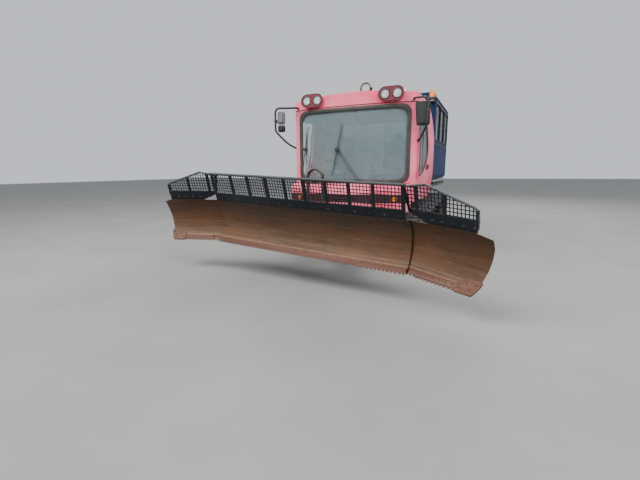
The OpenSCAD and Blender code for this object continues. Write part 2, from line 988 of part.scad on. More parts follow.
module cabin_door() {
  place(blue) {
    difference() {
      along(cabin_y1 - wall, cabin_y1)
        round_rect([-cabin_door_half, cabin_z0 + wall + 8], [cabin_door_half, 2944], 50);
      along(cabin_y1 - 200, cabin_y1 + 100)
        round_rect([-300, cabin_sill_z], [300, cabin_head_z - 30], 50);
    }
    for (z = cabin_hinge_zs) {
      hinge_eye_part([cabin_axis[0], cabin_axis[1], z]);
      difference() {
        box([cabin_axis[0] - 40, cabin_y1 - 5, z + hinge_eye + fit],
            [cabin_axis[0] - 3, cabin_y1 + 6, z + 2 * hinge_eye + fit]);
        bar_z([cabin_axis[0], cabin_axis[1], z], door_pin_r + fit, 400);
      }
    }
  }
}

module cabin_door_glass() {
  place(clear)
    along(cabin_y1 - 24, cabin_y1 - 24 + glass_t)
      round_rect([-300 + fit, cabin_sill_z + fit], [300 - fit, cabin_head_z - 30 - fit], 50);
}

// Cab doors follow the cab's own form
module door() {
  intersection() {
    difference() {
      cab_form(0, cab_z0, roof_z0);
      cab_form(wall, cab_z0, roof_z0);
    }
    box([500, 0, 0], [2000, 3000, 3000]);
    across(4000)
      difference() {
        door_outline(0);
        door_window(0);
      }
  }
}

module door_glass() {
  intersection() {
    difference() {
      cab_form(16, cab_z0, roof_z0);
      cab_form(16 + glass_t, cab_z0, roof_z0);
    }
    box([500, 0, 0], [2000, 3000, 3000]);
    across(4000)
      door_window(fit);
  }
}

module door_with_hinges() {
  door();
  for (z = door_hinge_zs) {
    hinge_eye_part([door_axis[0], door_axis[1], z]);
    difference() {
      box([cab_half - 5, door_axis[1] + 3, z + hinge_eye + fit],
          [cab_half + 6, door_axis[1] + 40, z + 2 * hinge_eye + fit]);
      bar_z([door_axis[0], door_axis[1], z], door_pin_r + fit, 400);
    }
  }
}

module door_left() {
  place(red)
    door_with_hinges();
}

module door_left_glass() {
  place(clear)
    door_glass();
}

module door_right() {
  place(red)
    mirror([1, 0, 0])
      door_with_hinges();
}

module door_right_glass() {
  place(clear)
    mirror([1, 0, 0])
      door_glass();
}

// Push frame from the lift hinge to the swivel head
frame_h = 140;
head_r = 105;

module push_frame() {
  place(dark)
    difference() {
      union() {
        translate([0, 0, lift_z - frame_h / 2])
          linear_extrude(frame_h)
            difference() {
              polygon([[-450, lift_y - 90], [450, lift_y - 90], [450, lift_y - 200],
                       [150, swivel_y + 130], [110, swivel_y], [-110, swivel_y],
                       [-150, swivel_y + 130], [-450, lift_y - 200]]);
              polygon([[-260, lift_y - 260], [260, lift_y - 260], [60, swivel_y + 260],
                       [-60, swivel_y + 260]]);
            }
        bar_z([0, swivel_y, lift_z], head_r, frame_h);
        // Shelf that carries the hoses
        box([-460, hose_y - 60, lift_z + frame_h / 2 - 20], [-80, hose_y + 60, lift_z + frame_h / 2 + 20]);
        both() {
          // Hinge eye between the chassis ears
          bar_x([ear_x, lift_y, lift_z], 58, 90);
          box([ear_x - 45, lift_y - 100, lift_z - 50], [ear_x + 45, lift_y, lift_z + 50]);
          // Pin through the ears
          bar_x([ear_x, lift_y, lift_z], pin_r, 220);
          // Ears of the angle cylinder
          for (z = [-65, 45])
            translate([angle_a[0], angle_a[1], lift_z + z]) {
              cylinder(r = 40, h = 20);
              translate([-120, -40, 0])
                cube([120, 80, 20]);
            }
          bar_z([angle_a[0], angle_a[1], lift_z], pin_r, 130);
          // Ears of the lift cylinder
          for (x = [lift_arm_x - 60, lift_arm_x + 40])
            translate([x + 10, 0, 0])
              across(20)
                polygon([[lift_b[0] - 70, lift_z + 60], [lift_b[0] - 40, lift_b[1] + 30],
                         [lift_b[0] + 40, lift_b[1] + 30], [lift_b[0] + 90, lift_z + 60]]);
          bar_x([lift_arm_x, lift_b[0], lift_b[1]], pin_r, 120);
        }
      }
      bar_z([0, swivel_y, lift_z], 45 + fit, 400);
      // Room under the eyes of the lift cylinders
      both()
        box([lift_arm_x - 32, lift_b[0] - 60, lift_z + frame_h / 2 - 14],
            [lift_arm_x + 32, lift_b[0] + 60, lift_z + frame_h / 2 + 1]);
    }
}

// Ends of the cylinders: the angle cylinders in X and Y, the lift cylinders in Y and Z
angle_a = [430, -250];
angle_b = [190, swivel_y - 50];
lift_b = [-560, 690];

hose_x = -300;
hose_y = -700;
hose_top = 1440;

module blade_hoses() {
  place(black)
    for (y = [hose_y - 26, hose_y + 26])
      translate([hose_x, y, 0]) {
        for (u = [-130, 130])
          translate([u, 0, lift_z + frame_h / 2 + 20 + fit])
            cylinder(r = 16, h = hose_top - lift_z - frame_h / 2 - 20 - fit);
        translate([0, 0, hose_top])
          rotate([90, 0, 0])
            rotate_extrude(angle = 180)
              translate([130, 0])
                circle(r = 16, $fn = 24);
      }
}

// Puts children in the swivelling frame: origin on the swivel pin, y forward is negative
module at_swivel() {
  translate([0, swivel_y, 0])
    rotate([0, 0, -blade_yaw])
      children();
}

module at_tilt() {
  at_swivel()
    translate([0, 0, lift_z])
      rotate([0, blade_tilt, 0])
        translate([0, 0, -lift_z])
          children();
}

// Origin on the cutting edge at the middle of the blade
module at_blade() {
  at_tilt()
    translate([0, -edge_reach, edge_z])
      children();
}

yoke_gap = frame_h / 2 + 6;

module swivel_frame() {
  place(dark)
    at_swivel()
      union() {
        union() {
          for (z = [lift_z - yoke_gap - 30, lift_z + yoke_gap])
            translate([0, 0, z])
              linear_extrude(30) {
                circle(r = 115);
                polygon([[-115, 0], [-235, -20], [-350, -200], [-350, -260], [350, -260],
                         [350, -200], [235, -20], [115, 0]]);
              }
          box([-350, -260, lift_z - yoke_gap - 30], [350, -200, lift_z + yoke_gap + 30]);
          bar_z([0, 0, lift_z], 45, 2 * yoke_gap + 60);
          // Tilt pin
          bar_y([0, -300, lift_z], 60, 90);
          // Pins of the angle cylinders
          both()
            bar_z([angle_b[0], angle_b[1] - swivel_y, lift_z], pin_r, 2 * yoke_gap);
          // Fork and pin of the tilt cylinder
          for (y = [-260, -155])
            box([-350, y, lift_z + yoke_gap], [-290, y + 15, tilt_pin_z + 40]);
          bar_y([tilt_a[0], tilt_cyl_y, tilt_pin_z], pin_r, 120);
        }
      }
}

tilt_pin_z = 730;
tilt_a = [-320, tilt_pin_z];
tilt_b = [110, tilt_pin_z];
tilt_cyl_y = -200;

module tilt_frame() {
  place(dark)
    at_tilt()
      difference() {
        union() {
          box([-330, -335, 450], [330, -275, 790]);
          // Ears of the tip-back hinge
          both()
            translate([325, 0, 0])
              across(40)
                polygon([[-335, 450], [-335, 600], [-pitch_reach, 545], [-pitch_reach - 40, 500],
                         [-pitch_reach, 455]]);
          // Arms that carry the tip-back cylinder
          both() {
            box([45, -335, 700], [65, -275, 810]);
            box([45, -335, 800], [65, -90, 900]);
          }
          bar_x([0, pitch_a[0], pitch_a[1]], pin_r, 130);
          // Pin of the tilt cylinder
          bar_y([tilt_b[0], -222, tilt_pin_z], pin_r, 110);
        }
        bar_y([0, -300, lift_z], 60 + fit, 200);
        bar_x([0, -pitch_reach, pitch_z], pin_r + fit, 1000);
      }
}

pitch_a = [-130, 850];

// Moldboard outline in y and z of the blade, between two depths behind its face
chord = sqrt(blade_h * blade_h + blade_lean * blade_lean);
chord_turn = atan(blade_lean / blade_h);
face_r = (chord * chord / 4 + blade_hollow * blade_hollow) / (2 * blade_hollow);
depth_off = face_r - blade_hollow;
mid_face = [-blade_lean / 2, blade_h / 2];
face_c = mid_face - depth_off * [cos(chord_turn), sin(chord_turn)];

module mold(d0, d1) {
  intersection() {
    difference() {
      translate(face_c)
        circle(r = face_r + d1, $fn = 192);
      translate(face_c)
        circle(r = face_r + d0, $fn = 192);
    }
    translate([-blade_lean, 0])
      square([blade_lean + 400, blade_h]);
  }
}

// Cutting edge: a strip along the moldboard's foot with teeth, from x0 to x1
edge_h = 58;
tooth_pitch = 50;
tooth_h = 22;

module cutting_edge(x0, x1, d0, d1) {
  n = round((x1 - x0) / tooth_pitch);
  step = (x1 - x0) / n;
  intersection() {
    translate([(x0 + x1) / 2, 0, 0])
      across(x1 - x0)
        intersection() {
          difference() {
            translate(face_c)
              circle(r = face_r + d1, $fn = 192);
            translate(face_c)
              circle(r = face_r + d0, $fn = 192);
          }
          translate([-100, -tooth_h])
            square([300, tooth_h + edge_h]);
        }
    along(-100, 200)
      polygon(concat(
        [[x1, edge_h + 1], [x0, edge_h + 1]],
        [for (k = [0:n - 1])
          for (q = [[0, 1], [0.3, -tooth_h], [0.7, -tooth_h], [1, 1]])
            [x0 + (k + q[0]) * step, q[1]]]
      ));
  }
}

// Ribs and beams fill the space behind the moldboard
module rib_outline() {
  difference() {
    polygon([[20, 60], [200, 30], [250, 80], [250, 140], [200, 420], [60, 610], [-30, 610],
             [40, 500]]);
    translate(face_c)
      circle(r = face_r + plate_t - 2, $fn = 192);
  }
}

half_len = blade_len / 2;
rib_step = (half_len - 340) / 4;
beam_half = half_len - 250;
hinge_x = half_len + seam_gap;
// Draws on the blade's left for s = 1, and mirrored on its right for s = -1
module sided(s) {
  if (s > 0)
    children();
  else
    mirror([1, 0, 0])
      children();
}

// Origin on the hinge of the left wing, z along the hinge
module at_hinge() {
  translate([hinge_x, hinge_depth, 0])
    rotate([chord_turn, 0, 0])
      children();
}

// Folds what is drawn in line with the blade
module folded() {
  at_hinge()
    rotate([0, 0, -wing_fold])
      rotate([-chord_turn, 0, 0])
        translate([-hinge_x, -hinge_depth, 0])
          children();
}

// Cuts off what stands in front of a depth behind the moldboard's face
module behind(d) {
  difference() {
    children();
    across(6000)
      translate(face_c)
        circle(r = face_r + d, $fn = 192);
  }
}

// Knuckles of a wing's hinge: height along the hinge and width
knuckles = [[60, 30], [480, 30]];
hinge_pin_r = 15;
wing_pin_z = 330;
wing_a = [-560, 140];
wing_b = [100, 220];
pitch_b = [190, 525];
pin_gap = 5;
corner_cut = 18;

module blade_centre() {
  place(rust)
    at_blade() {
      difference() {
        union() {
          across(blade_len)
            mold(0, plate_t);
          cutting_edge(-half_len, half_len, -12, 2);
        }
        // Cut corners that the folded wings pass
        both()
          along(-600, 600)
            for (q = [[-30, 0, 50], [blade_h + 1, blade_h, blade_h - 50]])
              polygon([[half_len + 1, q[0]], [half_len - corner_cut, q[0]], [half_len - corner_cut, q[1]],
                       [half_len, q[2]], [half_len + 1, q[2]]]);
      }
      for (k = [-4:4])
        translate([k * rib_step, 0, 0])
          across(16)
            difference() {
              rib_outline();
              // Room for the wing's cylinder
              if (abs(k) == 4)
                translate([188, 270])
                  square([100, 150]);
            }
      // Lower and upper beams
      box([-beam_half, 104, 60], [beam_half, 190, 140]);
      both()
        box([90, 130, 440], [beam_half, 190, 520]);
      // Ears of the tip-back hinge and its pin
      both()
        translate([371, 0, 0])
          across(40)
            polygon([[100, 60], [180, 20], [edge_reach - pitch_reach, 20],
                     [edge_reach - pitch_reach + 40, 60], [edge_reach - pitch_reach, 100],
                     [200, 140], [110, 140]]);
      bar_x([0, edge_reach - pitch_reach, pitch_z - edge_z], pin_r, 780);
      // Ears of the tip-back cylinder and its pin
      behind(plate_t / 2)
        both()
          translate([50, 0, 0])
            across(20)
              polygon([[0, 480], [180, 470], [230, 520], [200, 570], [0, 560]]);
      bar_x([0, pitch_b[0], pitch_b[1]], pin_r, 100);
      for (s = [-1, 1])
        sided(s) {
          at_hinge()
            for (q = knuckles)
              difference() {
                union() {
                  translate([0, 0, q[0]])
                    cylinder(r = 30, h = q[1]);
                  translate([0, 0, q[0]])
                    linear_extrude(q[1])
                      polygon([[-330, 36], [-62, 36], [-26, 20], [0, 20], [0, 80], [-330, 80]]);
                  translate([-330, -40, q[0]])
                    cube([100, 120, q[1]]);
                }
                translate([0, 0, q[0] - 1])
                  cylinder(r = hinge_pin_r + fit, h = q[1] + 2);
              }
          behind(plate_t / 2)
            at_hinge()
              for (z = [wing_pin_z - 65, wing_pin_z + 45])
                translate([0, 0, z])
                  linear_extrude(20)
                    polygon([[wing_a[0] - 70, -60], [wing_a[0] - 35, wing_a[1] + 35],
                             [wing_a[0] + 35, wing_a[1] + 35], [wing_a[0] + 70, -60]]);
          at_hinge()
            translate([wing_a[0], wing_a[1], wing_pin_z])
              cylinder(r = pin_r, h = 130, center = true);
        }
    }
}

wing_end = wing_len - seam_gap;
wing_back = plate_t + 6;
wing_tongue = 66;
knuckle_h = 24;

// The wing's cutting edge starts this far from its hinge, clear of the middle section
wing_edge_x = 125;

module wing_solid() {
  folded()
    difference() {
      union() {
        translate([hinge_x + (wing_end - wing_tongue) / 2, 0, 0])
          across(wing_end + wing_tongue)
            mold(wing_back, wing_back + plate_t);
        cutting_edge(hinge_x - wing_tongue, hinge_x + wing_end, wing_back, wing_back + plate_t);
        cutting_edge(hinge_x + wing_edge_x, hinge_x + wing_end, wing_back - 12, wing_back + 2);
      }
      // Cut corners of the tip, top and bottom
      translate([hinge_x + wing_end, 0, 0])
        along(-600, 600)
          union() {
            polygon([[-150, blade_h], [1, blade_h - 45], [1, blade_h + 90], [-150, blade_h + 90]]);
            polygon([[1, 480], [-14, 380], [-40, 240], [-75, 110], [-112, 20], [-150, -40],
                     [1, -40]]);
          }
    }
  folded()
    behind(wing_back + plate_t / 2)
      at_hinge() {
        for (q = knuckles)
          for (z = [q[0] - knuckle_h - pin_gap, q[0] + q[1] + pin_gap])
            difference() {
              union() {
                translate([0, 0, z])
                  cylinder(r = 30, h = knuckle_h);
                translate([0, -30, z])
                  cube([150, 50, knuckle_h]);
                translate([100, -150, z])
                  cube([50, 130, knuckle_h]);
              }
              translate([0, 0, z - 1])
                cylinder(r = hinge_pin_r - 1, h = knuckle_h + 2);
            }
        for (z = [wing_pin_z - 55, wing_pin_z + 35])
          translate([0, 0, z])
            linear_extrude(20)
              polygon([[60, -60], [wing_b[0] - 35, wing_b[1]], [wing_b[0], wing_b[1] + 35],
                       [wing_b[0] + 35, wing_b[1]], [420, -60]]);
        translate([wing_b[0], wing_b[1], wing_pin_z])
          cylinder(r = pin_r, h = 110, center = true);
      }
  folded()
    at_hinge()
      for (q = knuckles)
        translate([0, 0, q[0] - knuckle_h - pin_gap])
          cylinder(r = hinge_pin_r, h = q[1] + 2 * knuckle_h + 2 * pin_gap);
}

module wing(s) {
  at_blade()
    sided(s)
      wing_solid();
}

module wing_left() {
  place(rust)
    wing(1);
}

module wing_right() {
  place(rust)
    wing(-1);
}

// A mesh panel: an outline less rows of square holes inside another outline
module mesh_holes(x0, x1, z0, z1) {
  step = mesh_hole + mesh_bar;
  nx = floor((x1 - x0 - mesh_bar) / step);
  nz = floor((z1 - z0 - mesh_bar) / step);
  for (i = [0:nx - 1])
    for (j = [0:nz - 1])
      translate([x0 + mesh_bar + i * (x1 - x0 - mesh_bar) / nx, z0 + mesh_bar + j * (z1 - z0 - mesh_bar) / nz])
        square(mesh_hole);
}

band_h = 120;
guard_end = 40;
guard_t = 8;
rail_r = 18;

// Bottom of a guard that stands at a depth d behind the moldboard's top corner
function guard_foot(d) = (fit - d * sin(guard_lean)) / cos(guard_lean);

module at_guard() {
  translate([0, -blade_lean, blade_h])
    rotate([guard_lean, 0, 0])
      children();
}

panel_step = (half_len - guard_end - 65) / 4.5;

module centre_guard() {
  place(black)
    at_blade()
      at_guard() {
        along(0, guard_t)
          difference() {
            translate([guard_end - half_len, guard_foot(0)])
              square([blade_len - 2 * guard_end, guard_h - rail_r - guard_foot(0)]);
            for (k = [-4:4])
              translate([k * panel_step, 0])
                mesh_holes(5 - panel_step / 2, panel_step / 2 - 5, band_h, guard_h - 2 * rail_r);
          }
        // Stiffeners behind the mesh
        for (k = [-3.5:3.5])
          box([k * panel_step - 5, guard_t - 1, guard_foot(0) + 14],
              [k * panel_step + 5, guard_t + 34, guard_h - rail_r]);
        bar_x([0, guard_t / 2, guard_h - rail_r], rail_r, blade_len - 2 * guard_end);
      }
}

wing_guard_d = wing_back + 22;

// Wing guard outline: along the wing from its hinge, up from the moldboard
module guard_outline() {
  foot = guard_foot(wing_guard_d);
  polygon(concat([[220, foot], [-20, 90]], wing_rail, [[wing_end - 105, foot]]));
}

// The top of the wing guard, where its rail runs
wing_rail = [[-70, 375], [215, guard_h - 5], [wing_end - 70, 250], [wing_end - 60, 100]];
wing_rail_r = 14;

// A bent tube along a list of points with beads at its bends
module tube(points, r) {
  for (k = [0:len(points) - 2]) {
    d = points[k + 1] - points[k];
    translate(points[k])
      rotate([0, acos(d[2] / norm(d)), atan2(d[1], d[0])])
        cylinder(r = r, h = norm(d), $fn = 32);
  }
  for (k = [1:len(points) - 2])
    translate(points[k])
      sphere(r = r + 1.5, $fn = 32);
}

module wing_guard(s) {
  at_blade()
    sided(s)
      folded()
        at_guard()
          translate([hinge_x, wing_guard_d, 0]) {
            along(0, guard_t)
              difference() {
                guard_outline();
                mesh_holes(20, 110, band_h + 20, 360);
                mesh_holes(130, 420, band_h, 360);
                mesh_holes(440, wing_end - 100, band_h, 290);
              }
            along(guard_t - 1, 2 * wing_rail_r)
              polygon(concat(wing_rail, [[wing_end - 86, 100], [wing_end - 95, 238], [206, guard_h - 33],
                                         [-66, 348]]));
          }
}

module guard_left() {
  place(black)
    wing_guard(1);
}

module guard_right() {
  place(black)
    wing_guard(-1);
}

// A cylinder's barrel along +X from its eye, with a bore for its rod
module barrel(l) {
  difference() {
    union() {
      cylinder(r = 34, h = 60, center = true);
      translate([30, 0, 0])
        rotate([0, 90, 0])
          cylinder(r = barrel_r, h = l - 30);
    }
    cylinder(r = pin_r + fit, h = 200, center = true);
    translate([60, 0, 0])
      rotate([0, 90, 0])
        cylinder(r = rod_r + fit, h = l);
  }
}

// A rod that reaches back from its eye at distance l, its eye open by play
module rod(l, inside, play) {
  difference() {
    union() {
      translate([l, 0, 0])
        cylinder(r = pin_r + play + 14, h = 50, center = true);
      translate([inside, 0, 0])
        rotate([0, 90, 0])
          cylinder(r = rod_r, h = l - inside - pin_r - play);
    }
    translate([l, 0, 0])
      cylinder(r = pin_r + play, h = 200, center = true);
  }
}

// Turns a cylinder drawn along +X towards b from a, in three planes
module aim_yz(x, a, b) {
  translate([x, a[0], a[1]])
    rotate([90, 0, 90])
      rotate([0, 0, atan2(b[1] - a[1], b[0] - a[0])])
        children();
}

module aim_xy(z, a, b) {
  translate([a[0], a[1], z])
    rotate([0, 0, atan2(b[1] - a[1], b[0] - a[0])])
      children();
}

module aim_xz(y, a, b) {
  translate([a[0], y, a[1]])
    rotate([90, 0, 0])
      rotate([0, 0, atan2(b[1] - a[1], b[0] - a[0])])
        children();
}

// Play of the rods' open eyes on their pins
lift_play = 15;
angle_play = 19;
wing_play = 13;
small_play = 4;
lift_len = norm(lift_b - lift_top);

module lift_barrels() {
  place(silver)
    both()
      aim_yz(lift_arm_x, lift_top, lift_b)
        barrel(lift_len * 0.62);
}

module lift_rods() {
  place(silver)
    both()
      aim_yz(lift_arm_x, lift_top, lift_b)
        rod(lift_len, lift_len * 0.4, lift_play);
}

// The angle cylinder's far end, turned with the blade
function turned(p, a) = [p[0] * cos(a) - p[1] * sin(a), p[0] * sin(a) + p[1] * cos(a)];
function angle_end(s) = [0, swivel_y] + turned([s * angle_b[0], angle_b[1] - swivel_y], -blade_yaw);

module angle_barrel(s) {
  a = [s * angle_a[0], angle_a[1]];
  aim_xy(lift_z, a, angle_end(s))
    barrel(560);
}

module angle_rod(s) {
  a = [s * angle_a[0], angle_a[1]];
  aim_xy(lift_z, a, angle_end(s))
    rod(norm(angle_end(s) - a), 400, angle_play);
}

module angle_barrel_left() {
  place(silver)
    angle_barrel(1);
}

module angle_rod_left() {
  place(silver)
    angle_rod(1);
}

module angle_barrel_right() {
  place(silver)
    angle_barrel(-1);
}

module angle_rod_right() {
  place(silver)
    angle_rod(-1);
}

// The tilt cylinder's far end, turned with the blade's tilt
tilt_end = [0, lift_z] + turned([tilt_b[0], tilt_b[1] - lift_z], -blade_tilt);
tilt_len = norm(tilt_end - tilt_a);

module tilt_barrel() {
  place(silver)
    at_swivel()
      aim_xz(tilt_cyl_y, tilt_a, tilt_end)
        barrel(260);
}

module tilt_rod() {
  place(silver)
    at_swivel()
      aim_xz(tilt_cyl_y, tilt_a, tilt_end)
        rod(tilt_len, 150, small_play);
}

pitch_end = [pitch_b[0] - edge_reach, pitch_b[1] + edge_z];
pitch_len = norm(pitch_end - pitch_a);

module pitch_barrel() {
  place(silver)
    at_tilt()
      aim_yz(0, pitch_a, pitch_end)
        barrel(220);
}

module pitch_rod() {
  place(silver)
    at_tilt()
      aim_yz(0, pitch_a, pitch_end)
        rod(pitch_len, 150, small_play);
}

wing_eye = turned(wing_b, -wing_fold);
wing_cyl = norm(wing_eye - wing_a);

module wing_barrel(s) {
  at_blade()
    sided(s)
      at_hinge()
        aim_xy(wing_pin_z, wing_a, wing_eye)
          barrel(460);
}

module wing_rod(s) {
  at_blade()
    sided(s)
      at_hinge()
        aim_xy(wing_pin_z, wing_a, wing_eye)
          rod(wing_cyl, 300, wing_play);
}

module wing_barrel_left() {
  place(silver)
    wing_barrel(1);
}

module wing_rod_left() {
  place(silver)
    wing_rod(1);
}

module wing_barrel_right() {
  place(silver)
    wing_barrel(-1);
}

module wing_rod_right() {
  place(silver)
    wing_rod(-1);
}

chassis_frame();
engine_block();
axles();
road_wheels();
drive_sprockets();
track_left();
track_right();
rear_hitch();
rear_deck();
cab_body();
cab_roof();
cab_nose();
nose_grille();
cab_glass();
seats();
dashboard();
roof_lamps();
lamp_lenses();
amber_lamps();
tail_lamps();
mirrors();
wipers();
cabin_body();
cabin_glass();
cabin_sills();
door_left();
door_left_glass();
door_right();
door_right_glass();
cabin_door();
cabin_door_glass();
push_frame();
blade_hoses();
swivel_frame();
tilt_frame();
blade_centre();
centre_guard();
wing_left();
guard_left();
wing_right();
guard_right();
lift_barrels();
lift_rods();
angle_barrel_left();
angle_rod_left();
angle_barrel_right();
angle_rod_right();
tilt_barrel();
tilt_rod();
pitch_barrel();
pitch_rod();
wing_barrel_left();
wing_rod_left();
wing_barrel_right();
wing_rod_right();
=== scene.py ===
"""Looks of the snowcat groomer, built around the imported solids."""
import math

import bmesh
import bpy
from mathutils import Matrix, Vector


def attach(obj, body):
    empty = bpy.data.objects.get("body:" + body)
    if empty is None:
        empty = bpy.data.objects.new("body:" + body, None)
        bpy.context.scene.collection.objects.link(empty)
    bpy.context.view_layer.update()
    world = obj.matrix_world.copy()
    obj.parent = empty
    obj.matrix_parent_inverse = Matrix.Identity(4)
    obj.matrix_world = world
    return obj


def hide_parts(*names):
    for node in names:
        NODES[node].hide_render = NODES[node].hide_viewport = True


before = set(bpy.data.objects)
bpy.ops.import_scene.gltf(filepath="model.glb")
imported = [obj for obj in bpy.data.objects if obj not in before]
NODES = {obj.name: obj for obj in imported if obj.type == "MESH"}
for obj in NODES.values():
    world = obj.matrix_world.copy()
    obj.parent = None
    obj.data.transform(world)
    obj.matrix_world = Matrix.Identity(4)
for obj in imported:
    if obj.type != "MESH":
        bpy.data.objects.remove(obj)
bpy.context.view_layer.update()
scene = bpy.context.scene


# Frames of the moving groups, as in the part's source, in metres
def move(x, y, z):
    return Matrix.Translation((x, y, z))


def turn(axis, degrees):
    return Matrix.Rotation(math.radians(degrees), 4, axis)


def between(*parts):
    out = Matrix()
    for p in parts:
        out = out @ p
    return out


MID_X, MID = 0.0772, 1.3685
VEHICLE = move(MID_X, -MID, 0)
SWIVEL = between(VEHICLE, move(0, -1.05, 0), turn("Z", -6))
TILT = between(SWIVEL, move(0, 0, 0.56), turn("Y", 2.4), move(0, 0, -0.56))
BLADE = TILT @ move(0, -0.672, 0.44)
HINGE_X, HINGE_Y = 1.544, 0.175
LEAN = math.degrees(math.atan2(60, 620))
FLIP = Matrix.Scale(-1, 4, (1, 0, 0))
FOLD = between(move(HINGE_X, HINGE_Y, 0), turn("X", LEAN), turn("Z", -19), turn("X", -LEAN),
               move(-HINGE_X, -HINGE_Y, 0))
SIDES = {"left": Matrix(), "right": FLIP}
WING = {s: BLADE @ SIDES[s] @ FOLD for s in SIDES}


def circle(n):
    """Cosine and sine of n even steps round a circle."""
    return [(math.cos(math.tau * k / n), math.sin(math.tau * k / n)) for k in range(n)]


class Shape:
    """Collects faces drawn in one frame."""

    def __init__(self, at=VEHICLE):
        self.at = at
        self.points = []
        self.faces = []
        self.slots = []
        self.slot = 0

    def add(self, points, faces, at=None):
        at = self.at @ at if at is not None else self.at
        first = len(self.points)
        self.points += [at @ Vector(p) for p in points]
        for f in faces:
            f = [first + i for i in f]
            self.faces.append(f[::-1] if at.determinant() < 0 else f)
            self.slots.append(self.slot)

    def box(self, lo, hi, at=None):
        (a, b, c), (d, e, f) = lo, hi
        points = [(a, b, c), (d, b, c), (d, e, c), (a, e, c), (a, b, f), (d, b, f), (d, e, f), (a, e, f)]
        faces = [(0, 3, 2, 1), (4, 5, 6, 7), (0, 1, 5, 4), (1, 2, 6, 5), (2, 3, 7, 6), (3, 0, 4, 7)]
        self.add(points, faces, at)

    def prism(self, outline, lo, hi, axis="x", at=None):
        """A flat outline pushed from lo to hi: (y, z) along x, (x, z) along y, (x, y) along z."""
        put = {"x": lambda p, d: (d, p[0], p[1]), "y": lambda p, d: (p[0], d, p[1]),
               "z": lambda p, d: (p[0], p[1], d)}[axis]
        n = len(outline)
        points = [put(p, lo) for p in outline] + [put(p, hi) for p in outline]
        area = sum(a[0] * b[1] - b[0] * a[1] for a, b in zip(outline, outline[1:] + outline[:1]))
        flip = (area < 0) != (axis == "y")
        faces = [tuple(range(n))[::-1], tuple(range(n, 2 * n))]
        faces += [(i, (i + 1) % n, n + (i + 1) % n, n + i) for i in range(n)]
        self.add(points, [f[::-1] for f in faces] if flip else faces, at)

    def spin(self, profile, at=None, n=32, closed=False):
        """A profile of (radius, height) turned about Z; closed joins its last point to its first."""
        points, faces, rows = [], [], []
        for r, h in profile:
            if r < 1e-6:
                rows.append([len(points)] * n)
                points.append((0, 0, h))
            else:
                rows.append(list(range(len(points), len(points) + n)))
                points += [(r * c, r * q, h) for c, q in circle(n)]
        pairs = list(zip(rows, rows[1:])) + ([(rows[-1], rows[0])] if closed else [])
        for a, b in pairs:
            for k in range(n):
                f = [a[k], a[(k + 1) % n], b[(k + 1) % n], b[k]]
                f = [p for i, p in enumerate(f) if p != f[i - 1]]
                if len(f) > 2:
                    faces.append(tuple(f))
        self.add(points, faces, at)

    def cylinder(self, a, b, r, n=24, at=None):
        a, b = Vector(a), Vector(b)
        q = (b - a).to_track_quat("Z", "Y").to_matrix().to_4x4()
        place = Matrix.Translation(a) @ q
        place = at @ place if at is not None else place
        self.spin([(0, 0), (r, 0), (r, (b - a).length), (0, (b - a).length)], place, n)

    def tube(self, path, r, n=12, at=None, ends=True, loop=False):
        """A round bar along points, its cross-sections turned with the path."""
        path = [Vector(p) for p in path]
        count = len(path)
        side = None
        rows, points = [], []
        for i, p in enumerate(path):
            a = path[(i - 1) % count] if (loop or i) else p
            b = path[(i + 1) % count] if (loop or i < count - 1) else p
            along = (b - a).normalized()
            if side is None:
                side = along.orthogonal().normalized()
            side = (side - along * side.dot(along)).normalized()
            up = along.cross(side)
            rows.append(range(len(points), len(points) + n))
            points += [p + r * (side * c + up * q) for c, q in circle(n)]
        faces = []
        for a, b in list(zip(rows, rows[1:])) + ([(rows[-1], rows[0])] if loop else []):
            faces += [(a[k], a[(k + 1) % n], b[(k + 1) % n], b[k]) for k in range(n)]
        if ends and not loop:
            faces += [tuple(rows[0])[::-1], tuple(rows[-1])]
        self.add(points, faces, at)

    def plate(self, lo, hi, radius, d0, d1, axis="y", steps=4, at=None):
        """A flat rectangle with rounded corners, pushed from d0 to d1."""
        corners = [lo, (hi[0], lo[1]), hi, (lo[0], hi[1])]
        self.prism(rounded(corners, radius, steps), d0, d1, axis, at)

    def bent(self, points, steps, r, n=12, at=None):
        """A round bar along a smooth curve through points."""
        self.tube(smooth_path(points, steps), r, n, at)

    def bolt(self, p, normal, r=0.011, h=0.007, at=None):
        """A six-sided bolt head on a washer."""
        q = Vector(normal).to_track_quat("Z", "Y").to_matrix().to_4x4()
        place = Matrix.Translation(Vector(p)) @ q
        place = at @ place if at is not None else place
        self.spin([(0, -0.002), (r * 1.45, -0.002), (r * 1.45, 0.0015), (0, 0.0015)], place, 16)
        self.spin([(0, 0), (r, 0), (r, h * 0.8), (r * 0.85, h), (0, h)], place, 6)


def around(radius, count, first=0.0):
    """Places (x, y) at even steps round a circle, from an angle in degrees."""
    for k in range(count):
        a = math.radians(360 / count * k + first)
        yield radius * math.cos(a), radius * math.sin(a)


def rounded(points, radii, steps=6):
    """Outline with each corner rounded by its radius."""
    out = []
    count = len(points)
    if not hasattr(radii, "__len__"):
        radii = [radii] * count
    for i, p in enumerate(points):
        p = Vector(p)
        a = (Vector(points[i - 1]) - p)
        b = (Vector(points[(i + 1) % count]) - p)
        r = radii[i]
        if r <= 0:
            out.append(tuple(p))
            continue
        half = a.angle(b) / 2
        cut = min(r / math.tan(half), 0.49 * a.length, 0.49 * b.length)
        s, e = p + a.normalized() * cut, p + b.normalized() * cut
        for k in range(steps + 1):
            t = k / steps
            out.append(tuple(s * (1 - t) ** 2 + p * 2 * t * (1 - t) + e * t ** 2))
    return out


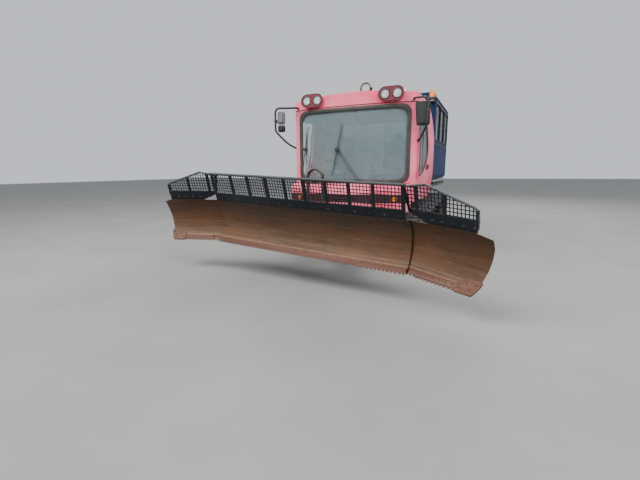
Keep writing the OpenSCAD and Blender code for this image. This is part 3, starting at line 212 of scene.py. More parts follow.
def smooth_path(points, steps=8, loop=False):
    """Catmull-Rom curve through points."""
    pts = [Vector(p) for p in points]
    n = len(pts)
    get = (lambda i: pts[i % n]) if loop else (lambda i: pts[max(0, min(n - 1, i))])
    out = []
    for i in range(n if loop else n - 1):
        p0, p1, p2, p3 = get(i - 1), get(i), get(i + 1), get(i + 2)
        for k in range(steps):
            t = k / steps
            out.append(0.5 * (2 * p1 + (p2 - p0) * t + (2 * p0 - 5 * p1 + 4 * p2 - p3) * t * t
                              + (3 * p1 - p0 - 3 * p2 + p3) * t ** 3))
    if not loop:
        out.append(pts[-1])
    return out


def piece(name, shape, body, materials, bevel=0.0, angle=35, replaces=()):
    """Makes a visible object from a shape, riding a body, in a slot, in place of the solids it replaces."""
    mesh = bpy.data.meshes.new(name)
    mesh.from_pydata([tuple(p) for p in shape.points], [], shape.faces)
    for m in materials if isinstance(materials, (list, tuple)) else [materials]:
        mesh.materials.append(m)
    mesh.polygons.foreach_set("material_index", shape.slots)
    bm = bmesh.new()
    bm.from_mesh(mesh)
    bmesh.ops.recalc_face_normals(bm, faces=bm.faces)
    bm.to_mesh(mesh)
    bm.free()
    mesh.shade_smooth()
    mesh.set_sharp_from_angle(angle=math.radians(angle))
    o = bpy.data.objects.new(name, mesh)
    scene.collection.objects.link(o)
    if bevel:
        b = o.modifiers.new("Edges", "BEVEL")
        b.width = bevel
        b.segments = 2
        b.limit_method = "ANGLE"
        b.angle_limit = math.radians(40)
        b.harden_normals = True
    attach(o, body)
    if replaces:
        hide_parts(*replaces)
    return o


# Sizes of the cab and the cabin as in the part's source, in metres
CAB_HALF, CAB_Y1, BOW_R, SCREEN_Y, SIDE_R, SIDE_Z = 1.105, 1.45, 4.35, 0.05, 3.61, 1.8
SIDE_TURN = math.atan2(0.099, 1.12)
CABIN_HALF, CABIN_Y0, CABIN_Y1 = 1.15, 1.9, 4.33


def bow(x):
    """Front of the cab at a distance from its middle."""
    return SCREEN_Y + BOW_R - math.sqrt(BOW_R * BOW_R - x * x)


def side(y, z):
    """Half the width of the cab at a place along it and a height."""
    if y < 0.33:
        return CAB_HALF
    u = math.sqrt(SIDE_R ** 2 - (z - SIDE_Z) ** 2)
    x = CAB_HALF + 0.105 - SIDE_R + (u + (y - CAB_Y1) * math.sin(SIDE_TURN)) / math.cos(SIDE_TURN)
    return max(CAB_HALF, x)


# Places on a surface: two coordinates and a distance outwards
def on_front(u, v, d):
    return (u, bow(u) - d, v)


def on_side(s):
    return lambda u, v, d: (s * (side(u, v) + d), u, v)


def on_x(x):
    return lambda u, v, d: (x + math.copysign(d, x), u, v)


def on_y(y, s):
    return lambda u, v, d: (u, y + s * d, v)


def arcs(corners, off=0.0, steps=7):
    """Outline from corner arcs (centre, radius, first and last angle), grown by off."""
    out = []
    for cu, cv, r, a, b in corners:
        for k in range(steps + 1):
            t = math.radians(a + (b - a) * k / steps)
            out.append((cu + (r + off) * math.cos(t), cv + (r + off) * math.sin(t)))
    return out


def round_rect(a, b, r, off=0.0):
    return arcs([(a[0] + r, a[1] + r, r, 180, 270), (b[0] - r, a[1] + r, r, 270, 360),
                 (b[0] - r, b[1] - r, r, 0, 90), (a[0] + r, b[1] - r, r, 90, 180)], off)


def ring(shape, outer, inner, place, lift=0.007, sink=0.014, back=0.003):
    """A rubber strip between two outlines on a surface."""
    rows = []
    n = len(outer)
    for i in range(n):
        a, b, c, d = outer[i], outer[(i + 1) % n], inner[i], inner[(i + 1) % n]
        parts = max(1, int(math.dist(a, b) / 0.09))
        for k in range(parts):
            t = k / parts
            o = [p + (q - p) * t for p, q in zip(a, b)]
            e = [p + (q - p) * t for p, q in zip(c, d)]
            near = [p + (q - p) * 0.2 for p, q in zip(o, e)]
            far = [p + (q - p) * 0.8 for p, q in zip(o, e)]
            rows.append([place(*o, -back), place(*o, lift * 0.6), place(*near, lift), place(*far, lift),
                         place(*e, lift * 0.5), place(*e, -sink)])
    m = len(rows)
    faces = [(6 * i + k, 6 * i + (k + 1) % 6, 6 * ((i + 1) % m) + (k + 1) % 6, 6 * ((i + 1) % m) + k)
             for i in range(m) for k in range(6)]
    shape.add([p for row in rows for p in row], faces)


def seal(shape, lo, hi, r, place, lift=0.006, sink=0.012, grow=0.013, cover=0.02):
    """A rubber strip round an opening with rounded corners."""
    ring(shape, round_rect(lo, hi, r, grow), round_rect(lo, hi, r, -cover), place, lift, sink)


# Materials
class Look:
    """A node-built material; values are numbers, colours or sockets."""

    def __init__(self, name, colour, rough=0.5, metal=0.0):
        self.material = bpy.data.materials.new(name)
        self.material.use_nodes = True
        self.tree = self.material.node_tree
        self.shader = self.tree.nodes["Principled BSDF"]
        self.coords = self.tree.nodes.new("ShaderNodeTexCoord").outputs["Object"]
        self.set("Base Color", (*colour, 1))
        self.set("Roughness", rough)
        self.set("Metallic", metal)

    def set(self, name, value):
        self.put(self.shader.inputs[name], value)

    def put(self, socket, value):
        if isinstance(value, bpy.types.NodeSocket):
            self.tree.links.new(value, socket)
        else:
            socket.default_value = value

    def node(self, kind, *values, **settings):
        n = self.tree.nodes.new("ShaderNode" + kind)
        for k, v in settings.items():
            setattr(n, k, v)
        for i, v in enumerate(values):
            if v is not None:
                self.put(n.inputs[i], v)
        return n

    def noise(self, scale, detail=4, rough=0.55, vector=None, distortion=0.0):
        n = self.tree.nodes.new("ShaderNodeTexNoise")
        self.put(n.inputs["Vector"], vector or self.coords)
        for key, value in {"Scale": scale, "Detail": detail, "Roughness": rough,
                           "Distortion": distortion}.items():
            n.inputs[key].default_value = value
        return n.outputs["Fac"]

    def frame(self, matrix, scale=(1, 1, 1)):
        """Object coordinates as seen from a frame, then stretched."""
        loc, rot, _ = matrix.decompose()
        n = self.node("Mapping", self.coords, vector_type="TEXTURE")
        n.inputs["Location"].default_value = loc
        n.inputs["Rotation"].default_value = rot.to_euler()
        m = self.node("Mapping", n.outputs[0])
        m.inputs["Scale"].default_value = scale
        return m.outputs[0]

    def stretch(self, scale):
        m = self.node("Mapping", self.coords)
        m.inputs["Scale"].default_value = scale
        return m.outputs[0]

    def axis(self, vector, which):
        return self.node("SeparateXYZ", vector).outputs[which]

    def ramp(self, value, lo, hi, out_lo=0.0, out_hi=1.0):
        n = self.node("MapRange", value, lo, hi, out_lo, out_hi)
        return n.outputs[0]

    def math(self, op, a, b=None, clamp=False):
        n = self.node("Math", a, b, operation=op, use_clamp=clamp)
        return n.outputs[0]

    def mix(self, factor, a, b):
        n = self.tree.nodes.new("ShaderNodeMix")
        n.data_type = "RGBA"
        self.put(n.inputs["Factor"], factor)
        for socket, v in ((n.inputs["A"], a), (n.inputs["B"], b)):
            for s in n.inputs:
                if s.name == socket.name and s.type == "RGBA":
                    self.put(s, (*v, 1) if isinstance(v, tuple) and len(v) == 3 else v)
        return next(s for s in n.outputs if s.type == "RGBA")

    def bump(self, height, distance=0.002, strength=0.6, normal=None):
        n = self.tree.nodes.new("ShaderNodeBump")
        n.inputs["Strength"].default_value = strength
        n.inputs["Distance"].default_value = distance
        self.put(n.inputs["Height"], height)
        if normal is not None:
            self.put(n.inputs["Normal"], normal)
        return n.outputs[0]

    def soft_edges(self, radius=0.006):
        n = self.tree.nodes.new("ShaderNodeBevel")
        n.samples = 4
        n.inputs["Radius"].default_value = radius
        return n.outputs[0]

    def edges(self, radius=0.008):
        """1 on the edges of solids, where paint wears."""
        soft = self.soft_edges(radius)
        plain = self.node("NewGeometry").outputs["Normal"]
        dot = self.node("VectorMath", soft, plain, operation="DOT_PRODUCT").outputs["Value"]
        return self.ramp(dot, 0.98, 0.85)

    def normal(self, value):
        self.set("Normal", value)


def inside_cab(m):
    """1 on the inner faces of the cab's walls, floor and roof."""
    place = m.frame(VEHICLE)
    x, y, z = (m.axis(place, k) for k in range(3))
    x2 = m.math("MULTIPLY", x, x)
    behind_screen = m.math("SUBTRACT", y, m.math("MULTIPLY", x2, 0.1165))
    under_roof = m.math("ADD", z, m.math("MULTIPLY", x2, 0.0556))
    out = m.math("LESS_THAN", x2, 1.075 ** 2)
    for test, value, limit in (("GREATER_THAN", behind_screen, 0.085), ("LESS_THAN", y, 1.42),
                               ("GREATER_THAN", z, 1.05), ("LESS_THAN", under_roof, 2.795)):
        out = m.math("MULTIPLY", out, m.math(test, value, limit))
    return out


def inside_cabin(m):
    place = m.frame(VEHICLE)
    x, y, z = (m.axis(place, k) for k in range(3))
    out = m.math("LESS_THAN", m.math("MULTIPLY", x, x), 1.12 ** 2)
    for value, lo, hi in ((y, 1.93, 4.30), (z, 1.36, 3.04)):
        out = m.math("MULTIPLY", out, m.math("GREATER_THAN", value, lo))
        out = m.math("MULTIPLY", out, m.math("LESS_THAN", value, hi))
    return out


def paint(name, colour, fade, dirt=(0.16, 0.14, 0.12), rough=0.42, dirt_top=1.2, wear=None, edge=0.008,
          lining=None, face=None, gloss=None):
    """Old paint: faded in patches, dull, dirty towards the ground and bare on its edges, with a painted
    shade on the front faces when face is given.
    """
    m = Look(name, colour, rough)
    big = m.noise(1.3, 3)
    fine = m.noise(38, 5)
    tint = m.mix(m.ramp(big, 0.35, 0.7), colour, fade)
    z = m.axis(m.coords, 2)
    streak = m.noise(1, 5, vector=m.stretch((16, 16, 1.3)))
    low = m.ramp(z, dirt_top, 0.0, 0.0, 0.55)
    grime = m.math("MULTIPLY", m.math("ADD", low, 0.12), m.ramp(streak, 0.42, 0.75), True)
    tint = m.mix(grime, tint, dirt)
    normal = m.soft_edges(edge)
    if wear:
        worn = m.math("MULTIPLY", m.edges(edge), m.ramp(m.noise(22, 6), 0.45, 0.6), True)
        tint = m.mix(worn, tint, wear)
    if lining:
        tint = m.mix(lining(m), tint, (0.33, 0.33, 0.32))
    # Painted shade: faces ahead of y 0.0405 in the vehicle's frame take the dark face colour
    if face:
        tint = m.mix(m.math("LESS_THAN", m.axis(m.frame(VEHICLE), 1), 0.0405), tint, face)
    m.set("Base Color", tint)
    m.set("Roughness", m.ramp(m.math("ADD", fine, grime), 0.3, 1.4, rough - 0.08, rough + 0.35))
    if gloss:
        m.set("Specular IOR Level", gloss)
    m.normal(m.bump(fine, 0.0008, 0.25, normal))
    return m.material


def rust(name, at, scoured=(0.069, 0.05, 0.036)):
    """Scoured steel: orange-brown rust in level score lines, a greyer top with black rests of paint."""
    m = Look(name, (0.055, 0.028, 0.017), 0.6)
    place = m.frame(at)
    z = m.axis(place, 2)
    blotch = m.noise(2.1, 7, 0.62, place)
    grain = m.noise(60, 4, 0.6, m.frame(at, (0.12, 1, 1)))
    long = m.noise(1, 5, 0.65, m.frame(at, (0.8, 4, 26)))
    tint = m.mix(m.ramp(blotch, 0.34, 0.66), (0.058, 0.026, 0.011), (0.096, 0.042, 0.017))
    tint = m.mix(m.ramp(long, 0.42, 0.70, 0, 0.5), tint, (0.127, 0.069, 0.034))
    tint = m.mix(m.ramp(grain, 0.45, 0.75, 0, 0.4), tint, (0.03, 0.015, 0.008))
    orange = m.ramp(m.noise(4.5, 6, 0.6, m.frame(at, (0.6, 1, 1.6))), 0.46, 0.66, 0, 0.75)
    tint = m.mix(orange, tint, (0.116, 0.04, 0.01))
    # Level score lines, and a greyer scoured top
    wave = m.math("SINE", m.math("MULTIPLY", z, 2 * math.pi / 0.021))
    wavy = m.math("MULTIPLY", wave, m.ramp(m.noise(1, 4, 0.6, m.frame(at, (1.2, 1, 9))), 0.4, 0.62), True)
    tint = m.mix(m.math("MULTIPLY", m.ramp(wavy, 0.2, 1.0), 0.42), tint, (0.182, 0.11, 0.061))
    top = m.ramp(m.math("ADD", z, m.math("MULTIPLY", long, 0.14)), 0.42, 0.66, 0, 0.8)
    tint = m.mix(top, tint, scoured)
    # Bare scratches, black scuffs and rests of paint
    scratch = m.ramp(m.noise(1, 3, 0.5, m.frame(at, (5, 3, 90)), 0.6), 0.70, 0.73)
    tint = m.mix(m.math("MULTIPLY", scratch, 0.5), tint, (0.198, 0.165, 0.132))
    scuff = m.ramp(m.noise(3.1, 5, 0.7, m.frame(at, (1, 1, 3.2)), 1.4), 0.60, 0.64, 0, 0.8)
    tint = m.mix(m.math("MULTIPLY", scuff, m.ramp(z, 0.30, 0.44)), tint, (0.019, 0.018, 0.018))
    patch = m.ramp(m.noise(4.3, 7, 0.62, m.frame(at, (0.7, 1, 1.9))), 0.66, 0.68)
    tint = m.mix(m.math("MULTIPLY", patch, m.ramp(z, 0.27, 0.36)), tint, (0.011, 0.012, 0.014))
    # The cutting edge and the bright bruised line over it
    low = m.ramp(z, 0.062, 0.055)
    tint = m.mix(m.math("MULTIPLY", low, 0.85), tint, (0.083, 0.024, 0.011))
    rim = m.ramp(m.noise(30, 3, 0.6, place), 0.3, 0.6, 0.35, 1.0)
    line = m.math("MULTIPLY", m.ramp(z, 0.066, 0.060), m.ramp(z, 0.050, 0.056))
    tint = m.mix(m.math("MULTIPLY", line, rim), tint, (0.231, 0.132, 0.077))
    m.set("Base Color", tint)
    m.set("Roughness", m.ramp(long, 0.3, 0.7, 0.74, 0.46))
    m.set("Metallic", 0.2)
    height = m.math("ADD", m.math("MULTIPLY", wavy, 0.6), m.math("ADD", grain, long))
    m.normal(m.bump(height, 0.003, 0.7, m.soft_edges(0.004)))
    return m.material


def plain(name, colour, rough, metal=0.0, grain=60, depth=0.0006, dust=None, edge=0.003, **sockets):
    """Moulded, cast or drawn material: fine grain, with dust where it gathers."""
    m = Look(name, colour, rough, metal)
    fine = m.noise(grain, 5)
    big = m.noise(5, 4)
    dark = tuple(c * 0.72 for c in colour)
    tint = m.mix(m.ramp(big, 0.35, 0.7), dark, colour)
    if dust:
        up = m.axis(m.node("NewGeometry").outputs["Normal"], 2)
        amount = m.math("MULTIPLY", m.ramp(up, -0.2, 1, 0.08, 0.6), m.ramp(big, 0.35, 0.65, 0.3, 1), True)
        tint = m.mix(amount, tint, dust)
    m.set("Base Color", tint)
    m.set("Roughness", m.ramp(fine, 0.3, 0.7, max(0, rough - 0.08), min(1, rough + 0.12)))
    if depth:
        m.normal(m.bump(fine, depth, 0.5, m.soft_edges(edge)))
    for k, v in sockets.items():
        m.set(k.replace("_", " "), v)
    return m.material


def glass(name, colour, alpha, rough=0.04):
    """Sheet glass, see-through by its alpha, with a faint film of dirt."""
    m = Look(name, colour, rough)
    film = m.noise(7, 5)
    m.set("Alpha", m.ramp(film, 0.3, 0.8, alpha, alpha + 0.08))
    m.set("Roughness", m.ramp(film, 0.3, 0.8, rough, rough + 0.1))
    m.set("IOR", 1.5)
    m.set("Specular IOR Level", 0.9)
    return m.material


DUST = (0.24, 0.21, 0.17)
RED = paint("faded_red", (0.72, 0.070, 0.135), (0.90, 0.235, 0.325), rough=0.36, dirt_top=1.35,
            lining=inside_cab,
            gloss=0.35)
# The roof's front face gets a painted shade through face, a dark copy of the roof's red
ROOF = paint("roof_red", (0.82, 0.09, 0.165), (0.95, 0.265, 0.36), rough=0.36, dirt_top=1.35, gloss=0.35,
             lining=inside_cab, face=(0.16, 0.02, 0.03))
DARK_RED = paint("band_red", (0.035, 0.008, 0.011), (0.055, 0.014, 0.018), rough=0.55, gloss=0.2)
BLUE = paint("cabin_blue", (0.006, 0.017, 0.062), (0.012, 0.030, 0.090), (0.035, 0.038, 0.048), rough=0.6,
             dirt_top=1.6,
             gloss=0.12, lining=inside_cabin)
FRAME = paint("frame_black", (0.022, 0.022, 0.024), (0.045, 0.045, 0.047), rough=0.5,
              wear=(0.16, 0.09, 0.06))
GUARD = paint("guard_black", (0.006, 0.008, 0.011), (0.014, 0.017, 0.022), (0.018, 0.018, 0.019), rough=0.5,
              gloss=0.2,
              wear=(0.075, 0.072, 0.07))
# Rail paint: lighter grey than the guard's, partly the rail's own grey and partly a painted sheen of the
# sky on its top; its edges show real wear
RAIL_SHEEN_AND_WEAR = paint("rail_painted_sheen_and_wear", (0.026, 0.030, 0.034), (0.058, 0.063, 0.070), rough=0.45, wear=(0.17, 0.16, 0.15),
             gloss=0.3)
RUST = {"blade": rust("rust_middle", BLADE)}
RUST.update({s: rust("rust_" + s, WING[s] if s == "left" else BLADE @ FLIP @ FOLD @ FLIP,
                     (0.066, 0.034, 0.018))
             for s in SIDES})
WEAR = plain("worn_plate", (0.12, 0.045, 0.024), 0.6, 0.3, 40, 0.0015)
STEEL = plain("bright_steel", (0.42, 0.42, 0.43), 0.3, 0.9, 120, 0.0002)
ZINC = plain("dull_zinc", (0.32, 0.32, 0.32), 0.45, 0.8, 80)
RUBBER = plain("black_rubber", (0.016, 0.016, 0.017), 0.72, 0, 90, 0.001, DUST)
TRACK = plain("track_rubber", (0.022, 0.021, 0.02), 0.8, 0, 45, 0.0016, (0.13, 0.11, 0.09))
SHOE = plain("shoe_metal", (0.30, 0.30, 0.31), 0.42, 0.85, 70, 0.0006)
PLASTIC = plain("black_plastic", (0.014, 0.014, 0.015), 0.48, 0, 220, 0.0005)
GREY = plain("grey_plastic", (0.16, 0.165, 0.17), 0.6, 0, 220, 0.0005)
CLOTH = plain("seat_cloth", (0.05, 0.052, 0.058), 0.9, 0, 420, 0.0012)
ENGINE = plain("engine_metal", (0.13, 0.13, 0.135), 0.55, 0.5, 40)
GLASS = glass("window_glass", (0.30, 0.42, 0.44), 0.20)
DARK_GLASS = glass("cabin_glass", (0.10, 0.13, 0.135), 0.5)
LENS = glass("lamp_lens", (0.85, 0.88, 0.88), 0.22, 0.06)
CHROME = plain("reflector", (0.8, 0.8, 0.79), 0.12, 1.0, 30, 0)
BULB = plain("bulb_glass", (0.85, 0.84, 0.78), 0.2, 0, 90, 0)
AMBER = plain("amber_lens", (0.85, 0.22, 0.015), 0.25, 0, 160, 0.0004)
TAIL = plain("red_lens", (0.45, 0.012, 0.01), 0.25, 0, 160, 0.0004)

NODE_LOOKS = {
    "chassis_frame": FRAME, "engine_block": ENGINE, "axles": FRAME, "road_wheels": RUBBER,
    "drive_sprockets": FRAME, "track_left": TRACK, "track_right": TRACK, "rear_hitch": FRAME,
    "rear_deck": FRAME, "cab_body": RED, "cab_roof": ROOF, "cab_nose": RED, "nose_grille": DARK_RED,
    "cab_glass": GLASS, "seats": CLOTH, "dashboard": GREY, "roof_lamps": PLASTIC, "lamp_lenses": LENS,
    "amber_lamps": AMBER, "tail_lamps": TAIL, "mirrors": PLASTIC, "wipers": PLASTIC,
    "cabin_body": BLUE, "cabin_glass": DARK_GLASS, "cabin_sills": ZINC, "door_left": RED,
    "door_left_glass": GLASS,
    "door_right": RED, "door_right_glass": GLASS, "cabin_door": BLUE, "cabin_door_glass": DARK_GLASS,
    "push_frame": FRAME, "blade_hoses": RUBBER, "swivel_frame": FRAME, "tilt_frame": FRAME,
    "blade_centre": RUST["blade"], "centre_guard": GUARD, "wing_left": RUST["left"], "guard_left": GUARD,
    "wing_right": RUST["right"], "guard_right": GUARD,
}
for name, o in NODES.items():
    look = NODE_LOOKS.get(name, STEEL if "rod" in name else FRAME)
    if not o.material_slots:
        o.data.materials.append(look)
    for s in o.material_slots:
        s.material = look
    o.data.shade_smooth()
    o.data.set_sharp_from_angle(angle=math.radians(32))


# Camera, floor and light
def camera_and_light():
    heading, pitch, roll = math.radians(24.65), math.radians(10.9), math.radians(-0.45)
    look = Vector((-math.sin(heading) * math.cos(pitch), math.cos(heading) * math.cos(pitch),
                   -math.sin(pitch)))
    data = bpy.data.cameras.new("photo_view")
    data.lens = 361 / 640 * 36
    data.sensor_width = 36
    data.clip_end = 200
    cam = bpy.data.objects.new("photo_view", data)
    scene.collection.objects.link(cam)
    spin = Matrix.Rotation(roll, 4, "Z")
    cam.matrix_world = Matrix.Translation((2.19 + MID_X, -5.96 - MID,
                                           1.55)) @ look.to_track_quat("-Z",
                                                                       "Y").to_matrix().to_4x4() @ spin
    scene.camera = cam

    floor = Shape(Matrix())
    floor.add([(-60, -60, 0), (60, -60, 0), (60, 60, 0), (-60, 60, 0)], [(0, 1, 2, 3)])
    mesh = bpy.data.meshes.new("floor")
    mesh.from_pydata([tuple(p) for p in floor.points], [], floor.faces)
    o = bpy.data.objects.new("floor", mesh)
    scene.collection.objects.link(o)
    m = Look("floor_pale", (0.62, 0.61, 0.60), 0.8)
    m.set("Base Color", m.mix(m.ramp(m.noise(0.7, 3), 0.3, 0.7), (0.215, 0.212, 0.204),
                              (0.25, 0.247, 0.238)))
    mesh.materials.append(m.material)

    world = bpy.data.worlds.new("studio")
    scene.world = world
    world.use_nodes = True
    world.node_tree.nodes["Background"].inputs[0].default_value = (0.80, 0.84, 0.90, 1)
    world.node_tree.nodes["Background"].inputs[1].default_value = 0.9
    for place, aim, size, power, colour in (
            ((-5, -9, 11), (0, 0, 1), 7, 2300, (1, 0.98, 0.95)),
            ((9, -7, 9), (0, 0, 1.2), 7, 1500, (0.97, 0.98, 1)),
            ((2, 10, 10), (0, 1, 1.5), 8, 1300, (0.95, 0.98, 1))):
        light = bpy.data.lights.new("soft", "AREA")
        light.energy = power
        light.size = size
        light.color = colour
        lo = bpy.data.objects.new("soft", light)
        scene.collection.objects.link(lo)
        lo.location = place
        lo.rotation_euler = (Vector(aim) - Vector(place)).to_track_quat("-Z", "Y").to_euler()


camera_and_light()


# Guards: a fine mesh of bars in a frame, with ribs behind and a rail on top
GUARD_LEAN = 17.6
BLADE_H, BLADE_LEAN = 0.62, 0.06
AT_GUARD = between(move(0, -BLADE_LEAN, BLADE_H), turn("X", GUARD_LEAN))


def foot(d):
    return (0.0003 - d * math.sin(math.radians(GUARD_LEAN))) / math.cos(math.radians(GUARD_LEAN))


def bars(shape, inside, x0, x1, z0, z1, y, pitch=0.042, bar=0.011, thick=0.004):
    """Crossing flat bars that fill the part of a rectangle where inside(x, z) holds."""
    nx, nz = round((x1 - x0) / pitch), round((z1 - z0) / pitch)
    for i in range(nx + 1):
        x = x0 + (x1 - x0) * i / nx
        zs = [z0 + (z1 - z0) * k / 200 for k in range(201) if inside(x, z0 + (z1 - z0) * k / 200)]
        if len(zs) > 3:
            shape.box((x - bar / 2, y, zs[0]), (x + bar / 2, y + thick, zs[-1]))
    for j in range(nz + 1):
        z = z0 + (z1 - z0) * j / nz
        xs = [x0 + (x1 - x0) * k / 400 for k in range(401) if inside(x0 + (x1 - x0) * k / 400, z)]
        if len(xs) > 3:
            shape.box((xs[0], y + 0.0002, z - bar / 2), (xs[-1], y + thick - 0.0002, z + bar / 2))


def centre_guard():
    half, top, band = 1.46, 0.412, 0.12
    s = Shape(BLADE @ AT_GUARD)
    s.box((-half, 0, foot(0)), (half, 0.008, band))
    bars(s, lambda x, z: True, -half + 0.03, half - 0.03, band, top - 0.01, 0.002)
    s.box((-half, 0, band), (-half + 0.05, 0.008, top))
    s.box((half - 0.05, 0, band), (half, 0.008, top))
    for k in range(8):
        x = (k - 3.5) * 0.31
        s.box((x - 0.005, 0.0075, foot(0) + 0.012), (x + 0.005, 0.042, top))
        s.box((x - 0.022, 0, band - 0.01), (x + 0.022, 0.0078, top - 0.006))
    s.slot = 1
    s.tube([(-half, 0.004, top), (half, 0.004, top)], 0.018, 18)
    for x in (-half, half):
        s.cylinder((x - 0.003, 0.004, top), (x + 0.003, 0.004, top), 0.021, 18)
    s.slot = 0
    for k in range(16):
        x = -half + 0.06 + k * (2 * half - 0.12) / 15
        s.bolt((x, 0, 0.035), (0, -1, 0), 0.013, 0.009)
    piece("guard_middle", s, "blade", [GUARD, RAIL_SHEEN_AND_WEAR], 0.0012, replaces=["centre_guard"])


def wing_guard(name):
    end, d = 0.916, 0.038
    f = foot(d)
    outline = [(0.22, f), (-0.02, 0.09), (-0.07, 0.375), (0.215, 0.425), (end - 0.14, 0.235),
               (end - 0.125, 0.09), (end - 0.14, f)]
    s = Shape(WING[name] @ AT_GUARD @ move(HINGE_X, d, 0))

    def inside(x, z):
        hit = False
        for (ax, az), (bx, bz) in zip(outline, outline[1:] + outline[:1]):
            if (az > z) != (bz > z) and x < ax + (z - az) * (bx - ax) / (bz - az):
                hit = not hit
        return hit

    bars(s, inside, -0.05, end - 0.14, 0.125, 0.42, 0.002)
    s.prism([(0.22, f), (-0.02, 0.09), (-0.024, 0.12), (end - 0.128, 0.12), (end - 0.125, 0.09),
             (end - 0.14, f)],
            0, 0.008, "y")
    s.prism([(-0.02, 0.09), (-0.07, 0.375), (-0.035, 0.375), (0.012, 0.09)], 0, 0.008, "y")
    for x, z0, z1 in ((0.10, 0.03, 0.40), (0.43, 0.012, 0.34)):
        s.box((x - 0.005, 0.0075, z0), (x + 0.005, 0.034, z1))
        s.box((x - 0.02, 0, 0.12), (x + 0.02, 0.0078, z1))
    # Edge of the band by the tip, turned back
    s.prism([(end - 0.16, 0.02), (end - 0.135, 0.02), (end - 0.13, 0.22), (end - 0.155, 0.22)], -0.002,
            0.03, "y")
    for x in (0.28, 0.40, 0.52, 0.64, 0.75):
        s.bolt((x, 0, 0.03), (0, -1, 0), 0.013, 0.009)
    s.slot = 1
    rail = rounded([(-0.067, 0.355), (-0.067, 0.371), (0.215, 0.416), (end - 0.148, 0.233),
                    (end - 0.133, 0.094)],
                   [0, 0.01, 0.09, 0.06, 0], 5)
    s.tube([(u, 0.015, v) for u, v in rail], 0.0135, 14)
    piece("guard_wing_" + name, s, "wing_" + name, [GUARD, RAIL_SHEEN_AND_WEAR], 0.0012,
          replaces=["guard_" + name])


centre_guard()
for which in SIDES:
    wing_guard(which)


# Cab, its lamps, mirrors and wipers
def cab_trim():
    """Window seals, the roof's seam, door handles and the doors' fittings."""
    s = Shape()
    ring(s, round_rect((-1.0, 1.345), (1.0, 2.585), 0.13, 0.014),
         round_rect((-0.952, 1.395), (0.952, 2.535), 0.15, 0),
         on_front, 0.010, 0.016)
    path = [(x, bow(x) - 0.001, 2.6205) for x in [k / 40 * CAB_HALF for k in range(-40, 41)]]
    sides = [0.25 + k * 0.05 for k in range(25)]
    path = [(-side(y, 2.62) - 0.001, y, 2.6205) for y in reversed(sides)] + path
    path += [(side(y, 2.62) + 0.001, y, 2.6205) for y in sides]
    s.tube(path, 0.0065, 8)
    seal(s, (-0.7, 1.9), (0.7, 2.5), 0.06, on_y(CAB_Y1, 1), 0.008, 0.014, 0.016, 0.03)
    # Seal between the nose and the cab
    s.tube([(x, bow(x) - 0.0035, 1.3205) for x in [k / 20 * 1.04 for k in range(-20, 21)]], 0.007, 8)
    piece("cab_seals", s, "vehicle", RUBBER, 0)
    for name, sign in (("left", 1), ("right", -1)):
        t = Shape()
        corners = [(0.43, 1.49, 0.04, 180, 270), (0.405, 2.0, 0.55, 270, 360), (0.915, 2.44, 0.04, 0, 90),
                   (0.43, 2.44, 0.04, 90, 180)]
        ring(t, arcs(corners, 0.014, 12), arcs(corners, -0.022, 12), on_side(sign), 0.007, 0.017)
        # The sliding pane's upright
        t.box((sign * (side(0.66, 2.0) - 0.016) - 0.005, 0.648, 1.56),
              (sign * (side(0.66, 2.0) - 0.016) + 0.005, 0.672, 2.468))
        piece("door_seal_" + name, t, "door_" + name, RUBBER, 0)
        t = Shape()
        y, z = 0.965, 1.60
        x = sign * side(y, z)
        t.plate((y - 0.075, z - 0.045), (y + 0.075, z + 0.045), 0.02, x, x + sign * 0.012, "x")
        t.bent([(x + sign * 0.008, y - 0.055, z + 0.012),
                            (x + sign * 0.032, y - 0.04, z + 0.012),
                            (x + sign * 0.036, y, z + 0.012), (x + sign * 0.032, y + 0.04, z + 0.012),
                            (x + sign * 0.008, y + 0.055, z + 0.012)], 5, 0.009, 12)
        t.cylinder((x + sign * 0.01, y + 0.02, z - 0.024), (x + sign * 0.018, y + 0.02, z - 0.024), 0.011,
                   20)
        piece("door_handle_" + name, t, "door_" + name, PLASTIC, 0.002)
        t = Shape()
        # A strip along the door's bottom and the pull bar inside
        t.tube([(sign * (side(v, 1.186) + 0.001), v, 1.186) for v in [0.33 + k * 0.03 for k in range(4)]],
               0.006, 8)
        t.tube([(sign * (side(0.5, 1.35) - 0.06), 0.42, 1.36), (sign * (side(0.6, 1.4) - 0.085), 0.5, 1.37),
                (sign * (side(0.7, 1.4) - 0.06), 0.62, 1.40)], 0.012, 10)
        piece("door_fittings_" + name, t, "door_" + name, PLASTIC, 0)


def lamp_at(x, y, z):
    return move(x, y, z) @ turn("X", -90)


LAMP_Z = 2.75
SEARCH_X, SEARCH_Z = 0.13, 2.965


